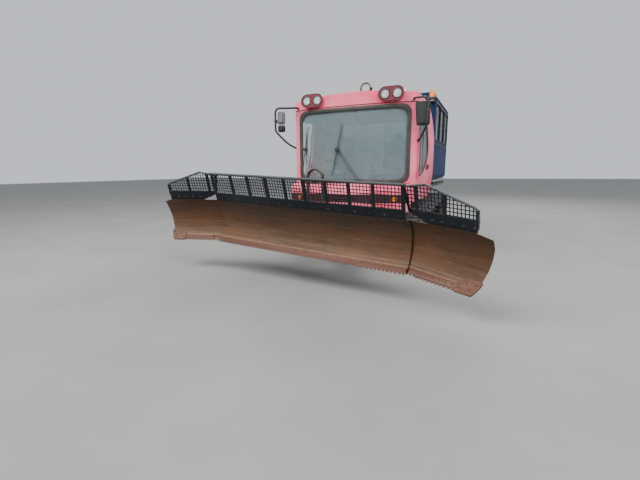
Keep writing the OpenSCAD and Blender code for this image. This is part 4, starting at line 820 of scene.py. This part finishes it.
def lamps():
    chrome, rim, bulb = Shape(), Shape(), Shape()
    for x in (-0.8, -0.6, 0.6, 0.8):
        at = lamp_at(x, 0.04, LAMP_Z)
        chrome.spin([(0.0665, 0.0025), (0.0668, 0.012), (0.056, 0.028), (0.0405, 0.0475), (0.02, 0.056),
                     (0, 0.059)], at, 40)
        rim.spin([(0.082, -0.004), (0.070, -0.006), (0.0665, -0.002), (0.0665, 0.002), (0.082, 0.002)], at,
                 48, True)
        bulb.spin([(0, 0.026), (0.009, 0.028), (0.011, 0.036), (0.009, 0.05), (0.009, 0.058), (0, 0.058)],
                  at, 20)
    at = lamp_at(SEARCH_X, 0.5, SEARCH_Z)
    chrome.spin([(0.0762, 0.0025), (0.0765, 0.012), (0.066, 0.04), (0.046, 0.082), (0.02, 0.095),
                 (0, 0.098)], at, 44)
    rim.spin([(0.0945, -0.005), (0.081, -0.007), (0.0765, -0.002), (0.0765, 0.004), (0.0945, 0.012),
              (0.0955, 0.004)], at, 48, True)
    bulb.spin([(0, 0.04), (0.010, 0.042), (0.012, 0.05), (0.010, 0.07), (0.010, 0.09), (0, 0.09)], at, 20)
    # Outline of each pair of lamps
    for sign in (-1, 1):
        ends = [(sign * 0.7 - 0.1, LAMP_Z, 0.106, 90, 270), (sign * 0.7 + 0.1, LAMP_Z, 0.106, -90, 90)]
        path = arcs(ends, 0, 16)
        rim.tube([(u, 0.0405, v) for u, v in path], 0.0055, 8, loop=True)
    # Stirrup and lever of the search lamp
    turns = [math.radians(a) for a in range(180, 361, 12)]
    path = [(SEARCH_X + 0.105 * math.cos(a), 0.54, SEARCH_Z + 0.105 * math.sin(a)) for a in turns]
    rim.tube(path, 0.007, 8)
    for sign in (-1, 1):
        a, b = SEARCH_X + sign * 0.09, SEARCH_X + sign * 0.118
        rim.cylinder((a, 0.54, SEARCH_Z), (b, 0.54, SEARCH_Z), 0.012, 16)
    rim.spin([(0.04, 0), (0.04, 0.008), (0.022, 0.02), (0.017, 0.022), (0.017, 0), (0.04, 0)],
             move(SEARCH_X, 0.55, 2.842), 24)
    piece("lamp_reflectors", chrome, "vehicle", CHROME, 0, 60)
    piece("lamp_rims", rim, "vehicle", PLASTIC, 0, 40)
    piece("lamp_bulbs", bulb, "vehicle", BULB, 0, 60)


# Mirrors: side, sign of x, the tube's path, two corners of the head, its clamp, the tube's radius
MIRRORS = (
    ("left", 1,
     [(1.04, 0.19, 2.65), (1.06, 0.10, 2.655), (1.15, 0.062, 2.655), (1.235, 0.036, 2.645),
      (1.278, 0.032, 2.595), (1.284, 0.032, 2.45), (1.268, 0.032, 2.225), (1.20, 0.14, 2.118),
      (1.128, 0.262, 2.02)],
     ((1.075, 0.05, 2.235), (1.31, 0.115, 2.60)), (1.284, 0.034, 2.45), 0.016),
    ("right", -1,
     [(1.04, 0.19, 2.66), (1.06, 0.10, 2.664), (1.2, 0.058, 2.664), (1.374, 0.016, 2.664),
      (1.424, 0.004, 2.60), (1.426, 0.004, 2.44), (1.426, 0.004, 2.281), (1.368, 0.04, 2.19),
      (1.25, 0.15, 2.045), (1.128, 0.262, 1.96)],
     ((1.262, 0.024, 2.252), (1.412, 0.084, 2.612)), (1.424, 0.008, 2.44), 0.018))


def mirror_outline(sign, a, d, low, high, g, cut):
    """Outline of a mirror's head, drawn in by g, and by cut at its lower corner by the cab."""
    return [(sign * (a + g + cut), low + g), (sign * (d - g), low + g),
            (sign * (d - g), high - g), (sign * (a + g), high - g)]


def mirrors():
    for name, sign, path, head, clamp, r in MIRRORS:
        s = Shape()
        s.tube([(sign * x, y, z) for x, y, z in smooth_path(path, 6)], r, 16)
        (a, b, c), (d, e, f) = head
        split = c + (f - c) * (0.36 if sign < 0 else 0.0)
        parts = [(split, f)] if sign > 0 else [(split + 0.006, f), (c, split - 0.006)]
        foot_in = 0.03 if sign > 0 else 0.0
        for n, (low, high) in enumerate(parts):
            s.slot = 1 if sign < 0 and n == 0 else 0
            for k in range(4):
                # Shell in steps, fuller towards its open rear
                g = (0.034, 0.014, 0.004, 0.0)[k]
                lo, hi = b + (e - b) * k / 4, b + (e - b) * (k + 1) / 4 - (0.010 if k == 3 else 0)
                outline = mirror_outline(sign, a, d, low, high, g, foot_in)
                s.prism(rounded(outline, 0.035, 5), lo - (0.0005 if k else 0), hi, "y")
        s.slot = 0
        x, y, z = clamp
        s.box((sign * x - 0.022, y - 0.02, z - 0.024), (sign * x + 0.022, b + 0.012, z + 0.024))
        s.spin([(r - 0.002, -0.03), (r + 0.008, -0.028), (r + 0.008, 0.028), (r - 0.002, 0.03)],
               move(sign * x, y - 0.002, z), 20)
        s.box((sign * 1.1053, 0.244, path[-1][2] - 0.02), (sign * 1.142, 0.28, path[-1][2] + 0.02))
        for q in (-0.012, 0.012):
            s.bolt((sign * x + q, y - 0.02, z), (0, -1, 0), 0.006, 0.004)
        piece("mirror_" + name, s, "vehicle", [PLASTIC, GREY], 0.003,
              replaces=["mirrors"] if sign > 0 else ())
        s = Shape()
        for low, high in parts:
            outline = mirror_outline(sign, a, d, low, high, 0.012, foot_in)
            s.prism(rounded(outline, 0.022, 5), e - 0.013, e - 0.009, "y")
        piece("mirror_glass_" + name, s, "vehicle", CHROME, 0)


def wipers():
    s = Shape()
    for base, head, top, low in (((0.161, 1.372), (-0.238, 1.90), (-0.13, 2.32), (-0.325, 1.47)),
                                 ((-0.70, 1.372), (-0.90, 1.93), (-0.81, 2.33), (-0.945, 1.62))):
        for du in (0, 0.045):
            a = (base[0] + du, bow(base[0]) - 0.045, base[1])
            b = (head[0] + du * 0.8, bow(head[0]) - 0.036, head[1] + du * 0.2)
            s.tube([a, [p + (q - p) * 0.12 + (0, -0.012, 0)[i] for i, (p, q) in enumerate(zip(a, b))], b],
                   0.0055, 8)
            s.cylinder((a[0], a[1] - 0.012, a[2]), (a[0], bow(base[0]) - 0.002, a[2]), 0.013, 16)
        s.box((base[0] - 0.025, bow(base[0]) - 0.03, base[1] - 0.022),
              (base[0] + 0.07, bow(base[0]) - 0.001, base[1] + 0.022))
        n = 18
        spine = [(top[0] + (low[0] - top[0]) * k / n, bow(top[0] + (low[0] - top[0]) * k / n),
                  top[1] + (low[1] - top[1]) * k / n)
                 for k in range(n + 1)]
        s.tube([(x, y - 0.004 - 0.012 * math.sin(math.pi * k / n), z) for k, (x, y, z) in enumerate(spine)],
               0.005, 8)
        s.tube([(x, y - 0.0008, z) for x, y, z in spine], 0.004, 6)
        s.box((head[0] - 0.02, bow(head[0]) - 0.044, head[1] - 0.02),
              (head[0] + 0.055, bow(head[0]) - 0.010, head[1] + 0.025))
    piece("wiper_arms", s, "vehicle", PLASTIC, 0.001, replaces=["wipers"])


# Moldboard: radius and centre of its face, as in the part's source
FACE_R = 0.407
FACE_C = (-0.2908, 0.2848)


def on_face(x, z, d):
    """A point by its height on the moldboard's face, moved back by d, and the way that the face looks."""
    t = math.asin((z - FACE_C[1]) / FACE_R)
    c, q = math.cos(t), math.sin(t)
    return (x, FACE_C[0] + (FACE_R + d) * c, FACE_C[1] + (FACE_R + d) * q), (0, -c, -q)


def blade_parts():
    # Left and right edges of the wear plate by height
    plate = [(-0.020, 0.615, 0.795), (-0.012, 0.603, 0.808), (0.01, 0.603, 0.822), (0.035, 0.606, 0.836),
             (0.06, 0.611, 0.847), (0.08, 0.622, 0.856), (0.10, 0.645, 0.862), (0.113, 0.672, 0.862),
             (0.122, 0.70, 0.855), (0.128, 0.74, 0.83)]
    for name in SIDES:
        s = Shape(WING[name] @ move(HINGE_X, 0, 0))
        points = []
        for z, a, b in plate:
            points += [on_face(a, z, -0.006)[0], on_face(b, z, -0.006)[0], on_face(b, z, 0.016)[0],
                       on_face(a, z, 0.016)[0]]
        n = len(plate)
        faces = [(4 * i + k, 4 * i + (k + 1) % 4, 4 * i + 4 + (k + 1) % 4, 4 * i + 4 + k)
                 for i in range(n - 1) for k in range(4)]
        s.add(points, faces + [(0, 1, 2, 3), (4 * n - 4, 4 * n - 3, 4 * n - 2, 4 * n - 1)])
        for x, z in ((0.645, 0.025), (0.70, 0.085), (0.765, 0.025), (0.815, 0.085)):
            at, out = on_face(x, z, -0.0065)
            s.bolt(at, out, 0.012, 0.008)
        piece("wear_plate_" + name, s, "wing_" + name, WEAR, 0.003, 50)
        s = Shape(WING[name] @ move(HINGE_X, 0, 0))
        for k in range(6):
            at, out = on_face(0.17 + k * 0.08, 0.03, 0.0038)
            s.bolt(at, out, 0.009, 0.004)
        piece("edge_bolts_" + name, s, "wing_" + name, WEAR, 0)
    s = Shape(BLADE)
    for k in range(18):
        at, out = on_face(-1.43 + k * 2.86 / 17, 0.03, -0.0122)
        s.bolt(at, out, 0.009, 0.004)
    piece("edge_bolts", s, "blade", WEAR, 0)


def cylinders():
    """Glands, eyes' rims, ports and pipes on the barrels; each rides its own barrel."""
    rows = [("lift_barrels", VEHICLE, (sign * 0.25, 0.15, 0.80), (sign * 0.25, -0.56, 0.69), 0.445,
             (0, 0, 1)) for sign in (-1, 1)]
    for name, sign in (("left", 1), ("right", -1)):
        end = VEHICLE.inverted() @ SWIVEL @ Vector((sign * 0.19, -0.05, 0.56))
        rows.append(("angle_barrel_" + name, VEHICLE, (sign * 0.43, -0.25, 0.56), tuple(end), 0.56,
                     (0, 0, 1)))
        rows.append(("wing_barrel_" + name,
                     BLADE @ SIDES[name] @ move(HINGE_X, HINGE_Y, 0) @ turn("X", LEAN),
                     (-0.56, 0.14, 0.33), None, 0.46, (0, 1, 0)))
    rows.append(("tilt_barrel", SWIVEL, (-0.32, -0.2, 0.73), None, 0.26, (0, 1, 0)))
    rows.append(("pitch_barrel", TILT, (0, -0.13, 0.85), (0, -0.482, 0.965), 0.22, (0, 0, 1)))
    made = {}
    for body, at, a, b, length, up in rows:
        s, z = made.setdefault(body, (Shape(Matrix()), Shape(Matrix())))
        a = at @ Vector(a)
        if b:
            b = at @ Vector(b)
        elif body == "tilt_barrel":
            b = TILT @ Vector((0.11, -0.2, 0.73))
        else:
            b = at @ turn("Z", -19) @ Vector((0.10, 0.22, 0.33))
        x = (b - a).normalized()
        up = (at.to_3x3() @ Vector(up)).normalized()
        up = (up - x * up.dot(x)).normalized()
        y = up.cross(x)
        place = Matrix(((x.x, y.x, up.x, a.x), (x.y, y.y, up.y, a.y), (x.z, y.z, up.z, a.z), (0, 0, 0, 1)))
        ring_at = place @ turn("Y", 90)
        s.spin([(0.0365, length - 0.034), (0.0415, length - 0.032), (0.0415, length - 0.006),
                (0.039, length - 0.001), (0.0245, length + 0.0015), (0.0215, length + 0.0005)], ring_at, 36)
        s.spin([(0.0372, 0.036), (0.0415, 0.040), (0.0415, 0.052), (0.0372, 0.056)], ring_at, 36)
        for u in (0.075, length - 0.06):
            z.box((u - 0.013, -0.013, 0.034), (u + 0.013, 0.013, 0.052), place)
            z.cylinder((u, 0, 0.05), (u, 0, 0.064), 0.010, 6, place)
        # Pipe along the barrel to its far port
        z.tube([(length - 0.06, 0, 0.058), (length - 0.085, 0.004, 0.062), (length - 0.11, 0.012, 0.052),
                (0.14, 0.014, 0.0485), (0.11, 0.008, 0.055), (0.102, 0.0, 0.064)], 0.006, 10, place)
    for body, (s, z) in made.items():
        piece("gland_" + body, s, body, FRAME, 0)
        piece("ports_" + body, z, body, ZINC, 0)


# Hose lines: their two legs, their bend, their foot and their radius
HOSE_X, HOSE_BEND, HOSE_TOP, HOSE_FOOT, HOSE_R = (-0.17, -0.43), 0.13, 1.44, 0.65, 0.0155


def hoses():
    line, ends = Shape(), Shape()
    heights = (0.66, 0.9, 1.2)
    turns = [math.radians(a) for a in range(0, 181, 10)]
    for y in (-0.726, -0.674):
        path = [(HOSE_X[0], y, z) for z in heights]
        path += [(-0.30 + HOSE_BEND * math.cos(a), y, HOSE_TOP + HOSE_BEND * math.sin(a)) for a in turns]
        path += [(HOSE_X[1], y, z) for z in reversed(heights)]
        line.tube(smooth_path(path, 3), HOSE_R, 16)
        for x in HOSE_X:
            at = move(x, y, HOSE_FOOT)
            ends.spin([(HOSE_R, 0.075), (0.0195, 0.073), (0.0195, 0.02), (HOSE_R, 0.015)], at, 24)
            ends.spin([(0.0, 0.0008), (0.0205, 0.0008), (0.0205, 0.02), (0.0, 0.02)], at, 6)
            for k in range(3):
                z = 0.03 + k * 0.014
                ends.spin([(0.0195, z), (0.0203, z + 0.003), (0.0195, z + 0.006)], at, 24)
    # Clips that hold the two lines together
    for x in HOSE_X:
        for z in (0.95, 1.3):
            ends.box((x - 0.02, -0.744, z), (x + 0.02, -0.656, z + 0.014))
    piece("hose_lines", line, "push_frame", RUBBER, 0, replaces=["blade_hoses"])
    piece("hose_ends", ends, "push_frame", ZINC, 0)


# Tracks: rubber belts, bolted shoes with toothed edges, guide horns
TRACK_X = 0.93
# Wheels as (y, z, radius): first and last road wheel, sprocket, idler
ROAD_FIRST, ROAD_LAST = (1.18, 0.375, 0.30), (3.44, 0.375, 0.30)
SPROCKET, IDLER = (4.11, 0.54, 0.34), (0.56, 0.48, 0.265)
ROAD_STEP = 0.7533333
PATH = [ROAD_FIRST, ROAD_LAST, SPROCKET, IDLER]
BELTS = ((-0.31, -0.235), (-0.105, 0.105), (0.235, 0.31))


def track_path(step):
    """Places (y, z, outward angle) round the wheels at an even step."""
    legs = []
    angles = []
    for a, b in zip(PATH, PATH[1:] + PATH[:1]):
        d = math.dist(a[:2], b[:2])
        n = math.atan2(b[1] - a[1], b[0] - a[0]) - math.pi / 2 + math.asin((a[2] - b[2]) / d)
        angles.append((n + 1.8) % math.tau - 1.8)
        legs.append(math.sqrt(d * d - (a[2] - b[2]) ** 2))
    arcs_at = [(angles[(k + 1) % 4] - angles[k]) % math.tau for k in range(4)]
    total = sum(legs) + sum(PATH[(k + 1) % 4][2] * arcs_at[k] for k in range(4))
    count = round(total / step)

    def at(s):
        for k in range(4):
            a, b = PATH[k], PATH[(k + 1) % 4]
            n = angles[k]
            if s < legs[k]:
                return (a[0] + a[2] * math.cos(n) - s * math.sin(n),
                        a[1] + a[2] * math.sin(n) + s * math.cos(n), n)
            s -= legs[k]
            if s < b[2] * arcs_at[k]:
                n += s / b[2]
                return b[0] + b[2] * math.cos(n), b[1] + b[2] * math.sin(n), n
            s -= b[2] * arcs_at[k]
        return at(0)

    return [at((k + 0.5) * total / count) for k in range(count)]


def tracks(name, x0):
    belt, shoe = Shape(), Shape()
    fine = track_path(0.035)
    for lo, hi in BELTS:
        rows = []
        for y, z, n in fine:
            c, q = math.cos(n), math.sin(n)
            rows.append([(x0 + u, y + d * c, z + d * q) for u, d in
                         ((lo, 0.003), (lo + 0.003, 0), (hi - 0.003, 0), (hi, 0.003), (hi, 0.017),
                          (hi - 0.003, 0.02), (lo + 0.003, 0.02), (lo, 0.017))])
        m = len(rows)
        belt.add([p for row in rows for p in row],
                 [(8 * i + k, 8 * i + (k + 1) % 8, 8 * ((i + 1) % m) + (k + 1) % 8, 8 * ((i + 1) % m) + k)
                  for i in range(m) for k in range(8)])
    half = 0.32
    teeth = 16
    edge = []
    for k in range(teeth):
        a = -half + 2 * half * k / teeth
        w = 2 * half / teeth
        edge += [(a + 0.12 * w, 0.0465), (a + 0.3 * w, 0.055), (a + 0.7 * w, 0.055), (a + 0.88 * w, 0.0465)]
    outline = [(-half, 0.0), (-half, 0.043)] + edge + [(half, 0.043), (half, 0.0)]
    for y, z, n in track_path(0.2):
        at = move(x0, y, z) @ turn("X", math.degrees(n) - 90)
        # Foot, blade and its ribs
        shoe.prism([(-0.033, 0.0201), (0.033, 0.0201), (0.030, 0.0265), (0.0095, 0.031), (-0.0095, 0.031),
                    (-0.030, 0.0265)],
                   -half, half, "x", at)
        shoe.prism([(u, 0.02 + d) for u, d in outline], -0.0055, 0.0055, "y", at)
        for u in (-0.272, -0.17, 0, 0.17, 0.272):
            shoe.prism([(-0.028, 0.025), (0.028, 0.025), (0.0075, 0.058), (-0.0075, 0.058)], u - 0.004,
                       u + 0.004, "x", at)
        for lo, hi in BELTS:
            shoe.box((lo + 0.006, -0.025, -0.005), (hi - 0.006, 0.025, -0.0002), at)
            for u in ((lo + hi) / 2,) if hi - lo < 0.1 else (lo + 0.035, hi - 0.035):
                for v in (-0.0185, 0.0185):
                    shoe.spin([(0, -0.0048), (0.0075, -0.0048), (0.0075, -0.011), (0, -0.011)],
                              at @ move(u, v, 0), 6)
        # Guide horns on both sides of the wheels
        for u in (-0.118, 0.118):
            shoe.prism([(-0.03, 0.0), (-0.012, -0.058), (0.012, -0.058), (0.03, 0.0)], u - 0.008, u + 0.008,
                       "x", at)
    piece("track_belts_" + name, belt, "vehicle", TRACK, 0, 30,
          replaces=["track_" + name])
    piece("track_shoes_" + name, shoe, "vehicle", SHOE, 0, 30)


def wheels():
    disc, hub = Shape(), Shape()
    y, z, r = ROAD_FIRST
    places = [(y + k * ROAD_STEP, z, r) for k in range(4)] + [IDLER]
    for sign in (-1, 1):
        for y, z, r in places:
            at = move(sign * TRACK_X, y, z) @ turn("Y", 90 * sign)
            inner = r - 0.075
            # Steel disc on both faces, rim edge, hub cover and its bolts
            disc.spin([(0.0855, 0.0085), (0.105, 0.0125), (0.15, 0.0065), (inner - 0.012, 0.0015),
                       (inner - 0.0006, 0.006),
                       (inner - 0.0006, 0.094), (inner + 0.012, 0.0975), (inner + 0.016, 0.0955)], at, 48)
            disc.spin([(0.0855, -0.0265), (0.12, -0.0285), (inner - 0.012, -0.0265),
                       (inner - 0.0006, -0.031),
                       (inner - 0.0006, -0.094), (inner + 0.012, -0.0975), (inner + 0.016, -0.0955)], at,
                       48)
            hub.spin([(0.0855, 0.0105), (0.088, 0.0165), (0.088, 0.070), (0.080, 0.0745), (0.060, 0.0745),
                      (0.056, 0.0865), (0.030, 0.0985), (0, 0.1005)], at, 40)
            hub.spin([(0.0855, -0.0275), (0.088, -0.04), (0.088, -0.0705), (0.046, -0.0725)], at, 40)
            for (u, v), (w, q) in zip(around(0.070, 6, 20), around(0.117, 6, 20)):
                hub.bolt((u, v, 0.075), (0, 0, 1), 0.007, 0.006, at)
                hub.bolt((w, q, 0.0118), (0, 0, 1), 0.010, 0.009, at)
        y, z, _ = SPROCKET
        at = move(sign * TRACK_X, y, z) @ turn("Y", 90 * sign)
        hub.spin([(0.046, 0.236), (0.148, 0.236), (0.150, 0.242), (0.135, 0.252), (0.09, 0.254),
                  (0.085, 0.266), (0.052, 0.268), (0.050, 0.236)], at, 48)
        for u, v in around(0.115, 10):
            hub.bolt((u, v, 0.2535), (0, 0, 1), 0.010, 0.009, at)
        for x in (-0.21, 0.21):
            for u, v in around(0.185, 12, 6):
                hub.bolt((u, v, x + 0.0255), (0, 0, 1), 0.011, 0.009, at)
    piece("wheel_discs", disc, "vehicle", FRAME, 0, 30)
    piece("wheel_hubs", hub, "vehicle", ZINC, 0, 30)


# Seats: padded cushions on their frames
def cushion(name, outline, lo, hi, at, body="vehicle"):
    """A stuffed pad: an outline in (y, z) between two places along x, remeshed and softened."""
    s = Shape(VEHICLE @ at)
    s.prism(outline, lo, hi)
    mesh = bpy.data.meshes.new(name)
    mesh.from_pydata([tuple(p) for p in s.points], [], s.faces)
    bm = bmesh.new()
    bm.from_mesh(mesh)
    bmesh.ops.recalc_face_normals(bm, faces=bm.faces)
    bmesh.ops.bevel(bm, geom=list(bm.edges), offset=0.022, segments=2, affect="EDGES", profile=0.5)
    bmesh.ops.triangulate(bm, faces=bm.faces)
    bmesh.ops.subdivide_edges(bm, edges=[e for e in bm.edges if e.calc_length() > 0.06], cuts=3,
                              use_grid_fill=True)
    bm.to_mesh(mesh)
    bm.free()
    mesh.materials.append(CLOTH)
    o = bpy.data.objects.new(name, mesh)
    scene.collection.objects.link(o)
    m = o.modifiers.new("Even", "REMESH")
    m.mode = "VOXEL"
    m.voxel_size = 0.011
    m = o.modifiers.new("Soft", "SMOOTH")
    m.factor = 0.5
    m.iterations = 6
    waves = bpy.data.textures.new(name, "CLOUDS")
    waves.noise_scale = 0.11
    m = o.modifiers.new("Settled", "DISPLACE")
    m.texture = waves
    m.texture_coords = "GLOBAL"
    m.strength = 0.009
    m.mid_level = 0.6
    mesh.shade_smooth()
    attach(o, body)
    return o


def seats():
    stand = Shape()
    for name, x in (("left", 0.52), ("right", -0.52)):
        at = move(x, 0.62, 1.0653)
        cushion("seat_cushion_" + name,
                [(0.005, 0.385), (0.47, 0.385), (0.47, 0.475), (0.05, 0.498), (0.005, 0.48)],
                -0.235, 0.235, at)
        cushion("seat_back_" + name, [(0.50, 0.50), (0.60, 0.50), (0.695, 1.02), (0.60, 1.02)], -0.225,
                0.225, at)
        cushion("seat_head_" + name, [(0.605, 1.03), (0.69, 1.03), (0.70, 1.175), (0.625, 1.175)], -0.13,
                0.13, at)
        stand.prism([(0.10, 0.0), (0.42, 0.0), (0.40, 0.03), (0.12, 0.03)], -0.20, 0.20, "x", at)
        stand.prism([(0.14, 0.03), (0.38, 0.03), (0.36, 0.34), (0.16, 0.34)], -0.15, 0.15, "x", at)
        stand.box((-0.21, 0.03, 0.34), (0.21, 0.45, 0.383), at)
        for k in range(5):
            # Folds of the suspension's cover
            stand.box((-0.165, 0.125, 0.06 + k * 0.055), (0.165, 0.395, 0.082 + k * 0.055), at)
        for u in (-0.15, 0.15):
            stand.tube([(u, 0.45, 0.36), (u, 0.55, 0.40), (u, 0.60, 0.52)], 0.014, 10, at)
        for u in (-0.255, 0.255):
            stand.tube([(u * 0.9, 0.60, 0.62), (u, 0.585, 0.66), (u, 0.52, 0.665)], 0.012, 10, at)
            stand.plate((0.20, 0.655), (0.54, 0.70), 0.02, u - 0.028, u + 0.028, "x", at=at)
    for sign, name in ((1, "left"), (-1, "right")):
        lo, hi = sorted((sign * 0.69, sign * 1.105))
        # Box under the bench, with the tub's corner kept clear, and two seat pads
        stand.box((lo, 2.03, 1.376), (hi, 4.20, 1.70))
        for k in range(2):
            a, b = (lo, hi)
            cushion(f"bench_pad_{name}_{k + 1}",
                    [(2.03 + k * 1.09, 1.702), (3.11 + k * 1.09, 1.702), (3.11 + k * 1.09, 1.79),
                                                (2.03 + k * 1.09, 1.79)], a, b, Matrix())
        for k in range(4):
            y = 2.03 + 0.54 * k
            stand.box((sign * 0.689, y + 0.03, 1.42), (sign * 0.6845, y + 0.51, 1.66))
            stand.box((sign * 0.6845, y + 0.24, 1.60), (sign * 0.678, y + 0.30, 1.62))
    piece("seat_frames", stand, "vehicle", PLASTIC, 0.003, replaces=["seats"])


def cab_inside():
    s = Shape()
    # Inner mirror, its stalk, grab rails
    s.plate((-0.11, 2.47), (0.11, 2.55), 0.03, 0.135, 0.155)
    s.tube([(0, 0.15, 2.54), (0, 0.16, 2.62), (0, 0.17, 2.675)], 0.008, 8)
    for x in (-1.02, 1.02):
        s.bent([(x, 0.42, 1.9), (x * 0.965, 0.40, 1.92), (x * 0.965, 0.40, 2.2),
                            (x, 0.42, 2.22)], 5, 0.013, 10)
    # Screens and switches on the dashboard's top, vents on its face
    for x, w in ((0.0, 0.15), (-0.45, 0.10)):
        s.plate((x - w, 1.335), (x + w, 1.50), 0.015, 0.30, 0.335, steps=3)
        s.tube([(x, 0.32, 1.325), (x, 0.32, 1.345)], 0.02, 12)
    for x in (-0.75, -0.6, 0.2, 0.75):
        s.plate((x - 0.06, 1.25), (x + 0.06, 1.30), 0.01, 0.399, 0.405, steps=3)
        for k in range(4):
            s.box((x - 0.05, 0.404, 1.258 + k * 0.010), (x + 0.05, 0.408, 1.262 + k * 0.010))
    for k in range(6):
        s.box((0.24 + k * 0.03, 0.402, 1.20), (0.26 + k * 0.03, 0.409, 1.225))
    # Console with the blade's stick beside the driver's seat, pedals
    s.box((0.16, 0.66, 1.066), (0.25, 1.05, 1.55))
    s.tube([(0.205, 0.72, 1.55), (0.205, 0.72, 1.60)], 0.022, 14)
    s.tube([(0.205, 0.72, 1.60), (0.205, 0.70, 1.66), (0.205, 0.715, 1.74)], 0.017, 12)
    for k in range(8):
        s.box((0.17 + 0.035 * (k % 2), 0.80 + 0.05 * (k // 2), 1.55),
              (0.195 + 0.035 * (k % 2), 0.83 + 0.05 * (k // 2), 1.556))
    for x in (0.47, 0.60):
        s.prism([(0.44, 1.09), (0.47, 1.075), (0.53, 1.19), (0.51, 1.20)], x - 0.04, x + 0.04, "x")
    piece("cab_fittings", s, "vehicle", PLASTIC, 0.002)


def cabin_trim():
    s = Shape()
    # Windows of the cabin: their corners' radius, sill, head, and the side windows' fronts and length
    r, sill, head = 0.04, 2.15, 2.89
    fronts, length = [1.99 + k * 0.78 for k in range(3)], 0.69
    for sign in (-1, 1):
        for y in fronts:
            seal(s, (y, sill), (y + length, sill + 0.74), r, on_x(sign * CABIN_HALF))
            # Sliding pane's upright and its latch
            for depth, y0, y1, z0, z1 in ((0.005, 0.335, 0.362, 0.01, 0.73),
                                          (0.014, 0.337, 0.352, 0.33, 0.40)):
                a, b = sorted((sign * 1.146, sign * 1.146 + sign * depth))
                s.box((a, y + y0, sill + z0), (b, y + y1, sill + z1))
        # Rain gutter over the windows, rubbing strips under them
        a, b = sorted((sign * 1.1503, sign * 1.162))
        s.box((a, 1.96, 2.952), (b, 4.27, 2.964))
        s.box((a, 1.93, 2.045), (b, 4.30, 2.062))
        lo, hi = sorted((sign * 0.52, sign * 1.02))
        seal(s, (lo, sill), (hi, head), r, on_y(CABIN_Y1, 1))
    seal(s, (-0.9, sill), (0.9, head), r, on_y(CABIN_Y0, -1))
    s.tube([(u, CABIN_Y1 + 0.0005, v) for u, v in round_rect((-0.402, 1.381), (0.402, 2.946), 0.03)],
           0.0045, 8, loop=True)
    piece("cabin_seals", s, "vehicle", RUBBER, 0)
    d = Shape()
    seal(d, (-0.3, sill), (0.3, 2.86), r, on_y(CABIN_Y1, 1))
    d.plate((-0.37, 1.93), (-0.27, 2.06), 0.02, CABIN_Y1, CABIN_Y1 + 0.010)
    d.bent([(-0.355, 4.338, 1.99), (-0.34, 4.37, 1.99), (-0.24, 4.372, 1.985),
                        (-0.22, 4.36, 1.98)], 5, 0.009, 12)
    piece("cabin_door_trim", d, "cabin_door", PLASTIC, 0.001)
    b = Shape()
    for sign in (-1, 1):
        for k in range(9):
            b.bolt((sign * 1.166, 2.0 + k * 0.28, 1.29), (sign, 0, 0), 0.010, 0.007)
        for k in range(4):
            # Roof ribs' ends and grab bars by the rear door
            b.bolt((sign * (0.55 + 0.15 * k), 4.33, 3.0), (0, 1, 0), 0.007, 0.005)
        b.bent([(sign * 0.46, 4.33, 1.55), (sign * 0.46, 4.385, 1.57), (sign * 0.46, 4.39, 1.8),
                            (sign * 0.46, 4.385, 2.03), (sign * 0.46, 4.33, 2.05)], 6, 0.012, 12)
    piece("cabin_fittings", b, "vehicle", ZINC, 0)


def small_lamps():
    s, r = Shape(), Shape()
    s.spin([(0.0665, 0.0), (0.0705, 0.0), (0.0705, 0.03), (0.0668, 0.036), (0.0662, 0.036)],
           move(1.082, 1.822, 2.9225), 40)
    for sign in (-1, 1):
        at = lamp_at(sign * 0.858, -0.1885, 1.088)
        s.spin([(0.0385, 0.006), (0.046, 0.006), (0.0465, 0.036), (0.0385, 0.036)], at, 32, True)
        for x in (0.97, 1.03, 1.09):
            r.spin([(0, 0.0375), (0.010, 0.0365), (0.014, 0.0345), (0.0245, 0.0352), (0.0245, 0.0335),
                    (0, 0.0335)],
                   move(sign * x, 4.3895, 1.22) @ turn("X", -90), 28)
        lo, hi = sorted((sign * 0.955, sign * 1.105))
        s.tube([(u, 4.4235, v) for u, v in round_rect((lo, 1.188), (hi, 1.252), 0.012)], 0.004, 8,
               loop=True)
    piece("lamp_bases", s, "vehicle", PLASTIC, 0)
    piece("tail_lamp_domes", r, "vehicle", TAIL, 0)


cab_trim()
lamps()
mirrors()
wipers()
blade_parts()
cylinders()
hoses()
for which, sign in (("left", 1), ("right", -1)):
    tracks(which, sign * TRACK_X)
wheels()
seats()
cab_inside()
cabin_trim()
small_lamps()
